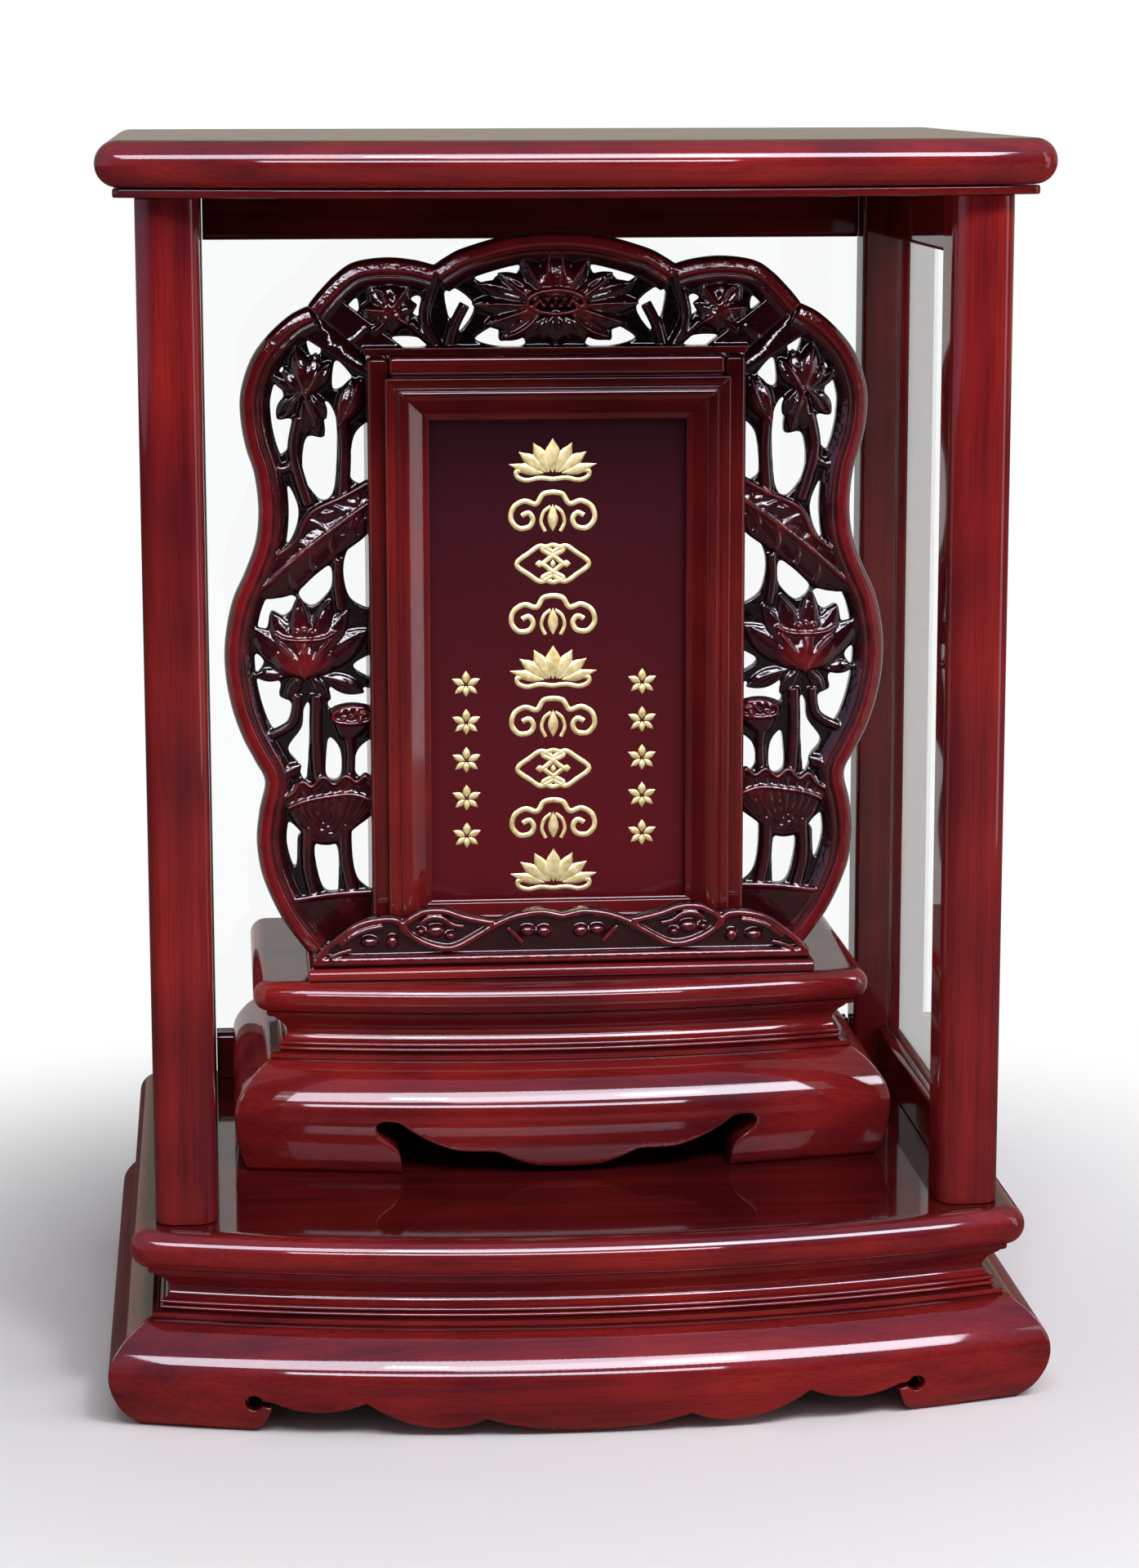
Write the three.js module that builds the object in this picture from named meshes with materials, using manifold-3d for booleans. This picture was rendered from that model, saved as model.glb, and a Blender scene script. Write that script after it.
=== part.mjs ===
// A lacquered rosewood ancestor shrine: a bow-fronted case with glass in both sides and the back,
// and in it a spirit tablet in a pierced lotus surround on its own scroll-foot stand.
// Millimetres. X is the width, the open front faces -Y, Z is up, and the origin lies on the
// floor under the middle of the whole shrine.
import * as THREE from 'three';
import { mergeVertices } from 'three/addons/utils/BufferGeometryUtils.js';
import Module from 'manifold-3d';

const wasm = await Module();
wasm.setup();

// Clearances and the one overrun that every cut uses.
const seatGap = 0.3;
const mitreGap = 0.18;
const cutOver = 2;
const weldGap = 0.01;

// The tablet's stand. Offsets are measured outward from the board's half width, and heights
// upward from the bottom of the member.
const stand = { halfWidth: 138, front: -45.5, rear: 111, bow: 16 };
const standBoard = { thick: 13.8, corner: 8 };
const standWaist = { high: 21.5, inner: -26, lip: -6, neck: -9.5, cove: -15, beadOut: -11.5, foot: -7.5 };
const standApron = { high: 48.6, inner: -15, top: -7, swell: 9, toe: 3.5 };
const standFoot = { frontGap: 64.3, sideGap: 48, notchIn: 11, notchUp: 24.5, notchLow: 18.1, toeUp: 4.7 };
const standBlock = { side: 18, low: 12 };
const step = { halfWidth: 113, front: -30, rear: 46, thick: 4.9, ease: 1.6 };
const carvedRail = { halfWidth: 111, front: -27, thick: 9, high: 26, foot: 5 };
const railRelief = { deep: 2.4, lip: 2.6, boss: 3.2 };

// The tablet: a box for the name slips behind a moulded frame.
const box = { halfWidth: 83.8, front: -6, rear: 40, top: 444, wall: 9, floor: 8, round: 3 };
const frame = { halfWidth: 76.4, top: 433, low: 188, openHalf: 57, openLow: 201, front: -13, back: -6.3 };
const board = { front: -2, thick: 5 };
const cover = { thick: 4, rearLip: 3, groove: 4, finger: 14, fingerDeep: 1.6 };
const slip = { wide: 44, high: 205, thick: 2.4, pitch: 7, count: 3 };

// The pierced surround. Its ground lies behind the border's front, and the carving rises from it.
const fret = { front: 1, thick: 10, border: 13.5, wingReach: 148.2, shoulderX: 109.2 };
const fretHigh = { shoulder: 465.6, crest: 497.6, foot: 27, rail: 3 };
const carving = { ground: 4.4, sink: 1.2, back: 2.7, front: 3.8, sepal: 2, stem: 2.6, leaf: 3.1 };

// The case stands clear of the stand's sides by the side room, and its boards pass the posts.
const caseFit = { sideRoom: 20, baseLedge: 11.1, canopyLedge: 15.6 };
const rail = { thick: 14.4, lowHigh: 22.2, topHigh: 27.7, ease: 2 };
const glass = { thick: 4, groove: 5, outward: 6.9 };
const post = { wide: 26.2, deep: 28, high: 431.4, front: -115, rear: 144, round: 8, ease: 2 };
const postOuter = stand.halfWidth + standApron.swell + caseFit.sideRoom + rail.thick;

const base = { halfWidth: postOuter + caseFit.baseLedge, front: -152, rear: 152, bow: 29 };
const baseBoard = { thick: 17, corner: 10.5 };
const baseWaist = { high: 22, inner: -28, lip: -7.7, neck: -10.5, cove: -17, beadOut: -12.4, foot: -9 };
const baseApron = { high: 45.4, inner: -16, top: -7, swell: 9.8, toe: -2.5 };
const baseFoot = { sideGap: 49, frontGap: 51.5, tipIn: 7.5, tipUp: 13.5 };
const baseScroll = { radius: 3.7, up: 15.6, slot: 1.2 };
const baseBlock = { side: 22, low: 8 };

const canopy = { halfWidth: postOuter + caseFit.canopyLedge, front: -154, rear: 154, bow: 29 };
const canopyBoard = { thick: 19, corner: 11.5 };
const fillet = { thick: 3.7, setBack: 7, corner: 4 };

// Heights of the levels, from the floor up.
const baseWaistZ = baseApron.high + seatGap;
const baseBoardZ = baseWaistZ + baseWaist.high + seatGap;
const baseTop = baseBoardZ + baseBoard.thick;
const postZ = baseTop + seatGap;
const filletZ = postZ + post.high + seatGap;
const canopyZ = filletZ + fillet.thick + seatGap;
const standZ = baseTop + seatGap;
const standWaistZ = standZ + standApron.high + seatGap;
const standBoardZ = standWaistZ + standWaist.high + seatGap;
const stepZ = standBoardZ + standBoard.thick + seatGap;
const tabletZ = stepZ + step.thick + seatGap;

// Smoothness of the curves, as counts.
const bowSteps = 14;
const noseSteps = 6;
const cornerSteps = 4;

// Finishes.
function lacquer(colour, roughness = 0.22) {
  return new THREE.MeshStandardMaterial({ color: colour, roughness, metalness: 0 });
}
const redLacquer = lacquer(0x6e1a1c);
const darkLacquer = lacquer(0x4a161b);
const carvedLacquer = lacquer(0x551a1f, 0.3);
const rawWood = lacquer(0x8a5a3c, 0.7);
const slipWood = lacquer(0xb98d5e, 0.65);
const clearGlass = new THREE.MeshStandardMaterial({
  color: 0xdfe8e4, roughness: 0.05, metalness: 0, transparent: true, opacity: 0.35,
});

const shrine = new THREE.Group();

function addPiece(name, geometry, material) {
  const piece = new THREE.Mesh(geometry, material);
  piece.name = name;
  shrine.add(piece);
  return piece;
}

// Geometry helpers: lofted skins, extrusions along an axis, and joins and cuts.
function closedGeometry(points, faces) {
  const geometry = new THREE.BufferGeometry();
  const places = points.flatMap((p) => [p.x, p.y, p.z]);
  geometry.setAttribute('position', new THREE.Float32BufferAttribute(places, 3));
  let volume = 0;
  for (const [a, b, c] of faces) {
    volume += points[a].dot(new THREE.Vector3().crossVectors(points[b], points[c]));
  }
  const outward = volume > 0 ? faces : faces.map(([a, b, c]) => [a, c, b]);
  geometry.setIndex(outward.flat());
  return geometry;
}

// Skins a row of rings, all with the same number of points, and closes both ends with the
// triangles of the flat outline that the rings follow.
function loft(rings, outline) {
  const count = outline.length;
  const points = rings.flat();
  const faces = [];
  for (let ring = 0; ring < rings.length - 1; ring += 1) {
    for (let i = 0; i < count; i += 1) {
      const next = (i + 1) % count;
      const low = ring * count;
      const high = low + count;
      faces.push([low + i, low + next, high + next]);
      faces.push([low + i, high + next, high + i]);
    }
  }
  const turn = Math.sign(THREE.ShapeUtils.area(outline));
  const last = (rings.length - 1) * count;
  for (const [a, b, c] of THREE.ShapeUtils.triangulateShape(outline, [])) {
    const area = THREE.ShapeUtils.area([outline[a], outline[b], outline[c]]);
    const [p, q] = area * turn > 0 ? [b, c] : [c, b];
    faces.push([a, q, p]);
    faces.push([last + a, last + p, last + q]);
  }
  return closedGeometry(points, faces);
}

// An extrusion whose outline lies across the named axis: (y, z) for x, (x, z) for y, (x, y) for z.
const extrudeBases = {
  x: [[0, 1, 0], [0, 0, 1], [1, 0, 0]],
  y: [[1, 0, 0], [0, 0, 1], [0, -1, 0]],
  z: [[1, 0, 0], [0, 1, 0], [0, 0, 1]],
};
function extrudeAlong(axis, shape, from, to, curveSegments = 6) {
  const geometry = new THREE.ExtrudeGeometry(shape, { depth: to - from, bevelEnabled: false, curveSegments });
  const [right, up, out] = extrudeBases[axis].map((v) => new THREE.Vector3(...v));
  geometry.applyMatrix4(new THREE.Matrix4().makeBasis(right, up, out));
  const start = axis === 'y' ? to : from;
  const place = new THREE.Vector3();
  place[axis] = start;
  geometry.translate(place.x, place.y, place.z);
  return geometry;
}

function block(x0, x1, y0, y1, z0, z1) {
  const geometry = new THREE.BoxGeometry(x1 - x0, y1 - y0, z1 - z0);
  geometry.translate((x0 + x1) / 2, (y0 + y1) / 2, (z0 + z1) / 2);
  return geometry;
}

function solid(geometry) {
  const bare = geometry.clone();
  for (const name of Object.keys(bare.attributes)) {
    if (name !== 'position') bare.deleteAttribute(name);
  }
  const merged = mergeVertices(bare);
  const vertProperties = new Float32Array(merged.attributes.position.array);
  const triVerts = new Uint32Array(merged.index.array);
  return new wasm.Manifold(new wasm.Mesh({ numProp: 3, vertProperties, triVerts }));
}

// The cut body as a geometry, with the hair-thin slivers of near-meeting cuts welded shut.
function geometryOf(body) {
  const mesh = body.getMesh();
  const geometry = new THREE.BufferGeometry();
  geometry.setAttribute('position', new THREE.Float32BufferAttribute(mesh.vertProperties, 3));
  geometry.setIndex(Array.from(mesh.triVerts));
  const welded = mergeVertices(geometry, weldGap);
  const corners = Array.from(welded.index.array);
  const kept = [];
  for (let i = 0; i < corners.length; i += 3) {
    const [a, b, c] = corners.slice(i, i + 3);
    if (a !== b && b !== c && c !== a) kept.push(a, b, c);
  }
  welded.setIndex(kept);
  return welded;
}

function joined(geometries) {
  return geometries.map(solid).reduce((sum, body) => sum.add(body));
}

function polygon(points) {
  return new THREE.Shape(points.map(([x, y]) => new THREE.Vector2(x, y)));
}

function rectangle(x0, x1, y0, y1) {
  return polygon([[x0, y0], [x1, y0], [x1, y1], [x0, y1]]);
}

function splinePoints(points, count) {
  const curve = new THREE.SplineCurve(points.map(([x, y]) => new THREE.Vector2(x, y)));
  return curve.getPoints(count).map((p) => [p.x, p.y]);
}

function arcPoints(x, y, radius, from, to, steps) {
  const points = [];
  for (let i = 0; i <= steps; i += 1) {
    const angle = THREE.MathUtils.lerp(from, to, i / steps);
    points.push(new THREE.Vector2(x + radius * Math.cos(angle), y + radius * Math.sin(angle)));
  }
  return points;
}

// The line that runs beside a path, at a distance to the right of its run.
function beside(path, reach) {
  return path.map(([x, y], i) => {
    const [x0, y0] = path[Math.max(i - 1, 0)];
    const [x1, y1] = path[Math.min(i + 1, path.length - 1)];
    const length = Math.hypot(x1 - x0, y1 - y0);
    return [x + ((y1 - y0) / length) * reach, y - ((x1 - x0) / length) * reach];
  });
}

// Bow-fronted plans. The front is one arc and a member's offset is concentric with it.
function bowRadius(plan) {
  return (plan.halfWidth ** 2 + plan.bow ** 2) / (2 * plan.bow);
}

function bowY(plan, offset, x) {
  const radius = bowRadius(plan);
  return plan.front + radius - Math.sqrt((radius + offset) ** 2 - x ** 2);
}

// The plan's outline at an offset, as points in the XY plane. The arcs of its front corners are
// tangent to the bow and to the sides.
function bowOutline(plan, offset, corner) {
  const radius = corner + offset;
  const cornerX = plan.halfWidth + offset - radius;
  const rearY = plan.rear + offset - radius;
  const reach = bowRadius(plan) + offset;
  const centreY = plan.front + bowRadius(plan);
  const cornerY = centreY - Math.sqrt((reach - radius) ** 2 - cornerX ** 2);
  const meet = Math.atan2(cornerY - centreY, cornerX);
  const right = [
    ...arcPoints(0, centreY, reach, -Math.PI / 2, meet, bowSteps / 2),
    ...arcPoints(cornerX, cornerY, radius, meet, 0, cornerSteps).slice(1),
    ...arcPoints(cornerX, rearY, radius, 0, Math.PI / 2, cornerSteps),
  ];
  const left = right.slice(1).reverse().map((p) => new THREE.Vector2(-p.x, p.y));
  return [...right, ...left];
}

// A board whose whole edge is a half round.
function bullnoseBoard(plan, thick, corner, bottom) {
  const nose = thick / 2;
  const rings = [];
  for (let i = 0; i <= noseSteps; i += 1) {
    const angle = THREE.MathUtils.lerp(-Math.PI / 2, Math.PI / 2, i / noseSteps);
    const inset = nose * (Math.cos(angle) - 1);
    const z = bottom + nose + nose * Math.sin(angle);
    rings.push(bowOutline(plan, inset, corner).map((p) => new THREE.Vector3(p.x, p.y, z)));
  }
  return loft(rings, bowOutline(plan, -nose, corner));
}

// Four mitred members swept round a plan from one section of offsets and heights.
function mitredMembers(plan, section, bottom) {
  const outline = section.map(([offset, height]) => new THREE.Vector2(offset, height));
  const cornerX = (offset) => plan.halfWidth + offset;
  const ring = (place) => outline.map((p) => {
    const [x, y] = place(p.x);
    return new THREE.Vector3(x, y, bottom + p.y);
  });
  const front = [];
  for (let i = 0; i <= bowSteps; i += 1) {
    const share = THREE.MathUtils.lerp(-1, 1, i / bowSteps);
    front.push(ring((offset) => {
      const x = share * (cornerX(offset) - mitreGap);
      return [x, bowY(plan, offset, x)];
    }));
  }
  const side = (sign) => [
    ring((offset) => [sign * cornerX(offset), bowY(plan, offset, cornerX(offset)) + mitreGap]),
    ring((offset) => [sign * cornerX(offset), plan.rear + offset - mitreGap]),
  ];
  const rear = [-1, 1].map((sign) =>
    ring((offset) => [sign * (cornerX(offset) - mitreGap), plan.rear + offset]));
  return {
    front: loft(front, outline),
    left: loft(side(-1), outline),
    right: loft(side(1), outline),
    rear: loft(rear, outline),
  };
}

// The waist: a lip and a cove over two beads and a fillet, at shares of its height.
const lipShares = [0.96, 0.3, 0.9];
const coveShares = [[0.82, 0], [0.68, 0.55], [0.55, 0.95], [0.42, 0.9], [0.35, 0.6]];
const beadShares = [0.32, 0.27, 0.2, 0.16, 0.08];
function waistSection(waist) {
  const high = waist.high;
  const [lipLow, neckIn, neckUp] = lipShares;
  const [overBeads, upperBead, betweenBeads, lowerBead, underBeads] = beadShares;
  const beadIn = (waist.cove + waist.beadOut) / 2;
  const points = [[waist.inner, high], [waist.lip, high], [waist.lip, high * lipLow]];
  points.push([THREE.MathUtils.lerp(waist.lip, waist.neck, neckIn), high * neckUp]);
  for (const [upShare, inShare] of coveShares) {
    points.push([THREE.MathUtils.lerp(waist.neck, waist.cove, inShare), high * upShare]);
  }
  points.push([beadIn, high * overBeads]);
  points.push([waist.beadOut, high * upperBead]);
  points.push([beadIn, high * betweenBeads]);
  points.push([waist.beadOut, high * lowerBead]);
  points.push([waist.foot, high * underBeads]);
  points.push([waist.foot, 0]);
  points.push([waist.inner, 0]);
  return points;
}

// The apron: a swelling section that turns in under itself at the foot.
const swellShares = [[1, 0], [0.93, 0.28], [0.83, 0.6], [0.68, 0.9], [0.54, 1]];
const toeShares = [[0.4, 0.95], [0.27, 0.78], [0.13, 0.48], [0, 0]];
function apronSection(apron) {
  const points = [[apron.inner, 0], [apron.inner, apron.high]];
  for (const [upShare, outShare] of swellShares) {
    points.push([THREE.MathUtils.lerp(apron.top, apron.swell, outShare), apron.high * upShare]);
  }
  for (const [upShare, outShare] of toeShares) {
    points.push([THREE.MathUtils.lerp(apron.toe, apron.swell, outShare), apron.high * upShare]);
  }
  return points;
}

// The lower edge of a base apron: three kinds of lobe between scroll hooks. The outline is
// drawn on the right and mirrored, round the middle of the side.
const baseCuspShares = [[0.667, 0.379], [0.309, 0.209]];
const baseDipShares = [[0.81, 0.156], [0.465, -0.09], [0, -0.143]];
function mirroredCut(rightPoints, middle, floor) {
  const left = rightPoints.map(([x, y]) => [-x, y]).reverse();
  const points = [...left, ...rightPoints];
  return polygon(points.map(([x, y]) => [middle + x, floor + y]));
}

function quadraticPoints(from, control, to, steps) {
  const curve = new THREE.QuadraticBezierCurve(
    new THREE.Vector2(...from), new THREE.Vector2(...control), new THREE.Vector2(...to));
  return curve.getPoints(steps).map((p) => [p.x, p.y]);
}

const lobeSteps = 7;
function baseLobes(halfGap) {
  const high = baseApron.high;
  const cusps = baseCuspShares.map(([x, z]) => [halfGap * x, high * z]);
  const dips = baseDipShares.map(([x, z]) => [halfGap * x, high * z]);
  const start = [halfGap - baseFoot.tipIn - baseScroll.slot / 2, baseScroll.up + baseScroll.slot / 2];
  const outer = quadraticPoints(start, dips[0], cusps[0], lobeSteps);
  const middle = quadraticPoints(cusps[0], dips[1], cusps[1], lobeSteps);
  const half = quadraticPoints(cusps[1], dips[2], [-cusps[1][0], cusps[1][1]], 2 * lobeSteps);
  const centre = half.slice(0, lobeSteps + 1);
  return [...outer, ...middle.slice(1), ...centre.slice(1, -1)];
}

// The hook at a foot rises to a tip and runs round a scroll that stays open where they meet.
const hookShares = [0.6, 0.35, 0.12];
const scrollSteps = 10;
function baseHook(halfGap) {
  const [riseIn, riseUp, openShare] = hookShares;
  const points = [[halfGap, -cutOver], [halfGap, 0]];
  points.push([halfGap - baseFoot.tipIn * riseIn, baseFoot.tipUp * riseUp]);
  points.push([halfGap - baseFoot.tipIn, baseFoot.tipUp]);
  const open = Math.PI * (1 - openShare);
  const scroll = arcPoints(halfGap, baseScroll.up, baseScroll.radius, -open, open, scrollSteps);
  return [...points, ...scroll.map((p) => [p.x, p.y])];
}

// The plain arch of a rear apron.
const baseArchShare = 0.4;
const standArchShare = 0.45;
function plainCut(halfGap, middle, level, soft, floor) {
  return mirroredCut([[halfGap - soft, level], [halfGap, level - soft], [halfGap, -cutOver]], middle, floor);
}

function baseCut(halfGap, middle, scalloped) {
  if (scalloped) return mirroredCut([...baseHook(halfGap), ...baseLobes(halfGap)].reverse(), middle, 0);
  return plainCut(halfGap, middle, baseApron.high * baseArchShare, baseFoot.tipIn, 0);
}

// The lower edge of a stand apron, from the middle out to the foot, over the stand's floor.
const standEdgeShares = [[0.19, 0.076], [0.339, 0.152], [0.43, 0.214], [0.597, 0.222],
  [0.696, 0.243], [0.821, 0.317], [0.932, 0.41], [0.985, 0.47]];
const standHookShares = [0.1, 0.39, 0.77, 0.56];
function standCut(halfGap, middle, scalloped) {
  const high = standApron.high;
  if (!scalloped) return plainCut(halfGap, middle, high * standArchShare, standFoot.notchIn, standZ);
  const [shank, tongue, tongueUp, throatUp] = standHookShares;
  const edge = standEdgeShares.map(([x, z]) => [halfGap * x, high * z]);
  const notchX = halfGap + standFoot.notchIn;
  const shankX = halfGap + standFoot.notchIn * shank;
  const hook = [
    [shankX, standFoot.notchUp],
    [notchX, standFoot.notchUp],
    [notchX, standFoot.notchLow],
    [halfGap + standFoot.notchIn * tongue, standFoot.notchLow * tongueUp],
    [shankX, standFoot.notchLow * throatUp],
    [halfGap, standFoot.toeUp],
    [halfGap, -cutOver],
  ];
  return mirroredCut([...edge, ...hook], middle, standZ);
}

// Cuts the lower edges of four aprons and adds them as pieces.
function addAprons(prefix, plan, apron, foot, members, cutShape, material) {
  const frontHalf = plan.halfWidth - foot.frontGap;
  const sideFront = bowY(plan, 0, plan.halfWidth);
  const sideMiddle = (sideFront + plan.rear) / 2;
  const sideHalf = (plan.rear - sideFront) / 2 - foot.sideGap;
  const reach = plan.halfWidth + apron.swell + cutOver;
  const inner = plan.halfWidth + apron.inner - cutOver;
  const frontCut = extrudeAlong('y', cutShape(frontHalf, 0, true), plan.front - apron.swell - cutOver, 0);
  const rearCut = extrudeAlong('y', cutShape(frontHalf, 0, false), plan.rear + apron.inner - cutOver,
    plan.rear + apron.swell + cutOver);
  const rightCut = extrudeAlong('x', cutShape(sideHalf, sideMiddle, true), inner, reach);
  const leftCut = extrudeAlong('x', cutShape(sideHalf, sideMiddle, true), -reach, -inner);
  const cuts = { front: frontCut, left: leftCut, right: rightCut, rear: rearCut };
  for (const [side, cut] of Object.entries(cuts)) {
    addPiece(`${prefix}_apron_${side}`, geometryOf(solid(members[side]).subtract(solid(cut))), material);
  }
}

// Square glue blocks in the four inner corners of a plan.
function addCornerBlocks(prefix, plan, inner, sizes, bottom, top) {
  const outerX = plan.halfWidth + inner - seatGap;
  const innerX = outerX - sizes.side;
  const frontY = bowY(plan, inner, outerX) + seatGap;
  const rearY = plan.rear + inner - seatGap;
  for (const [side, sign] of [['left', -1], ['right', 1]]) {
    const [x0, x1] = [sign * innerX, sign * outerX].sort((a, b) => a - b);
    const frontBlock = block(x0, x1, frontY, frontY + sizes.side, bottom + sizes.low, top);
    const rearBlock = block(x0, x1, rearY - sizes.side, rearY, bottom + sizes.low, top);
    addPiece(`${prefix}_block_front_${side}`, frontBlock, rawWood);
    addPiece(`${prefix}_block_rear_${side}`, rearBlock, rawWood);
  }
}

// The base and the case.
addPiece('base_board', bullnoseBoard(base, baseBoard.thick, baseBoard.corner, baseBoardZ), redLacquer);
for (const [side, member] of Object.entries(mitredMembers(base, waistSection(baseWaist), baseWaistZ))) {
  addPiece(`base_waist_${side}`, member, redLacquer);
}
addAprons('base', base, baseApron, baseFoot, mitredMembers(base, apronSection(baseApron), 0),
  baseCut, redLacquer);
addCornerBlocks('base', base, baseWaist.inner, baseBlock, 0, baseBoardZ - seatGap);

// A post is drawn for the right side with its outer face at x, and its glass grooves are cut in
// the faces that meet the rails.
const grooveWide = glass.thick + 2 * seatGap;
const glassX = postOuter - glass.outward;
const glassY = post.rear - glass.outward;
const postInner = postOuter - post.wide;
const frontPostRear = post.front + post.deep;
const rearPostFront = post.rear - post.deep;

function postShape(sign, y0, y1, frontRound, rearRound) {
  const x0 = Math.min(sign * postInner, sign * postOuter);
  const x1 = Math.max(sign * postInner, sign * postOuter);
  const shape = new THREE.Shape();
  shape.moveTo(x0 + frontRound, y0);
  shape.lineTo(x1 - frontRound, y0);
  shape.absarc(x1 - frontRound, y0 + frontRound, frontRound, -Math.PI / 2, 0, false);
  shape.lineTo(x1, y1 - rearRound);
  shape.absarc(x1 - rearRound, y1 - rearRound, rearRound, 0, Math.PI / 2, false);
  shape.lineTo(x0 + rearRound, y1);
  shape.absarc(x0 + rearRound, y1 - rearRound, rearRound, Math.PI / 2, Math.PI, false);
  shape.lineTo(x0, y0 + frontRound);
  shape.absarc(x0 + frontRound, y0 + frontRound, frontRound, Math.PI, 1.5 * Math.PI, false);
  return shape;
}

function sideGroove(sign, y0, y1) {
  const x = sign * glassX;
  return block(x - grooveWide / 2, x + grooveWide / 2, y0, y1, postZ - cutOver, postZ + post.high + cutOver);
}

function addPost(name, sign, atFront) {
  const y0 = atFront ? post.front : rearPostFront;
  const y1 = y0 + post.deep;
  const shape = postShape(sign, y0, y1, atFront ? post.round : post.ease, atFront ? post.ease : post.round);
  let body = solid(extrudeAlong('z', shape, postZ, postZ + post.high, 5));
  const grooveY = atFront ? [y1 - glass.groove, y1 + cutOver] : [y0 - cutOver, y0 + glass.groove];
  body = body.subtract(solid(sideGroove(sign, ...grooveY)));
  if (!atFront) {
    const inner = [sign * (postInner - cutOver), sign * (postInner + glass.groove)].sort((a, b) => a - b);
    const rearGroove = block(...inner, glassY - grooveWide / 2, glassY + grooveWide / 2,
      postZ - cutOver, postZ + post.high + cutOver);
    body = body.subtract(solid(rearGroove));
  }
  addPiece(name, geometryOf(body), redLacquer);
}
addPost('post_front_left', -1, true);
addPost('post_front_right', 1, true);
addPost('post_rear_left', -1, false);
addPost('post_rear_right', 1, false);

// A rail's section, across its length: a bar with a groove for the pane in the edge that faces it.
function railShape(outer, inner, z0, z1, grooveAt, grooveUp) {
  const [a, b] = [Math.min(outer, inner), Math.max(outer, inner)];
  const g0 = grooveAt - grooveWide / 2;
  const g1 = grooveAt + grooveWide / 2;
  const ease = rail.ease;
  if (grooveUp) {
    const bed = z1 - glass.groove;
    return polygon([[a, z0], [b, z0], [b, z1 - ease], [b - ease, z1], [g1, z1], [g1, bed], [g0, bed],
      [g0, z1], [a + ease, z1], [a, z1 - ease]]);
  }
  const bed = z0 + glass.groove;
  return polygon([[a, z0 + ease], [a + ease, z0], [g0, z0], [g0, bed], [g1, bed], [g1, z0],
    [b - ease, z0], [b, z0 + ease], [b, z1], [a, z1]]);
}

const lowRailTop = postZ + rail.lowHigh;
const topRailTop = postZ + post.high;
const topRailLow = topRailTop - rail.topHigh;
const railLevels = { bottom: [postZ, lowRailTop, true], top: [topRailLow, topRailTop, false] };
for (const [level, [z0, z1, grooveUp]] of Object.entries(railLevels)) {
  for (const [side, sign] of [['left', -1], ['right', 1]]) {
    const inner = sign * (postOuter - rail.thick);
    const shape = railShape(sign * postOuter, inner, z0, z1, sign * glassX, grooveUp);
    const along = extrudeAlong('y', shape, frontPostRear + seatGap, rearPostFront - seatGap);
    addPiece(`${level}_rail_${side}`, along, redLacquer);
  }
  const rearShape = railShape(post.rear, post.rear - rail.thick, z0, z1, glassY, grooveUp);
  const across = extrudeAlong('x', rearShape, -postInner + seatGap, postInner - seatGap);
  addPiece(`${level}_rail_rear`, across, redLacquer);
}

// The panes stand in the grooves, held clear of the wood all round.
const paneIn = glass.groove - seatGap;
const paneLow = lowRailTop - paneIn;
const paneTop = topRailLow + paneIn;
for (const [side, sign] of [['left', -1], ['right', 1]]) {
  const x = sign * glassX;
  const pane = block(x - glass.thick / 2, x + glass.thick / 2, frontPostRear - paneIn, rearPostFront + paneIn,
    paneLow, paneTop);
  addPiece(`glass_${side}`, pane, clearGlass);
}
addPiece('glass_rear', block(-postInner - paneIn, postInner + paneIn, glassY - glass.thick / 2,
  glassY + glass.thick / 2, paneLow, paneTop), clearGlass);

// The canopy and the fillet board under it.
function flatBoard(plan, inset, corner, z0, z1) {
  const outline = bowOutline(plan, -inset, corner);
  const rings = [z0, z1].map((z) => outline.map((p) => new THREE.Vector3(p.x, p.y, z)));
  return loft(rings, outline);
}
const filletCorner = fillet.corner + fillet.setBack;
const filletBody = flatBoard(canopy, fillet.setBack, filletCorner, filletZ, filletZ + fillet.thick);
addPiece('canopy_fillet', filletBody, darkLacquer);
addPiece('canopy_board', bullnoseBoard(canopy, canopyBoard.thick, canopyBoard.corner, canopyZ), redLacquer);

// The tablet's stand.
addPiece('stand_board', bullnoseBoard(stand, standBoard.thick, standBoard.corner, standBoardZ), redLacquer);
for (const [side, member] of Object.entries(mitredMembers(stand, waistSection(standWaist), standWaistZ))) {
  addPiece(`stand_waist_${side}`, member, redLacquer);
}
addAprons('stand', stand, standApron, standFoot, mitredMembers(stand, apronSection(standApron), standZ),
  standCut, redLacquer);
addCornerBlocks('stand', stand, standWaist.inner, standBlock, standZ, standBoardZ - seatGap);

const stepShape = polygon([
  [step.front, stepZ], [step.rear, stepZ], [step.rear, stepZ + step.thick],
  [step.front + step.ease, stepZ + step.thick], [step.front, stepZ + step.thick - step.ease],
]);
addPiece('stand_step', extrudeAlong('x', stepShape, -step.halfWidth, step.halfWidth), redLacquer);

// The carved cloud rail: a plate cut along its crests, with a raised lip along them and along the
// lower edge of each cartouche, bosses between, and a plain foot. Drawn from the middle outward.
const railCrestShares = [[0, 0.865], [0.045, 0.912], [0.09, 0.942], [0.18, 0.885], [0.261, 0.762],
  [0.315, 0.792], [0.403, 0.881], [0.474, 0.988], [0.545, 1], [0.587, 0.927], [0.631, 0.823], [0.687, 0.865],
  [0.759, 0.846], [0.83, 0.75], [0.901, 0.538], [0.959, 0.327], [0.986, 0.2], [1, 0]];
const cartoucheShares = [[0.18, 0.885], [0.261, 0.731], [0.333, 0.531], [0.414, 0.335], [0.468, 0.288],
  [0.541, 0.365], [0.609, 0.519], [0.658, 0.81]];
const bossShares = [[0.075, 0.55], [0.142, 0.57], [0.51, 0.63], [0.685, 0.4], [0.784, 0.45]];
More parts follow.
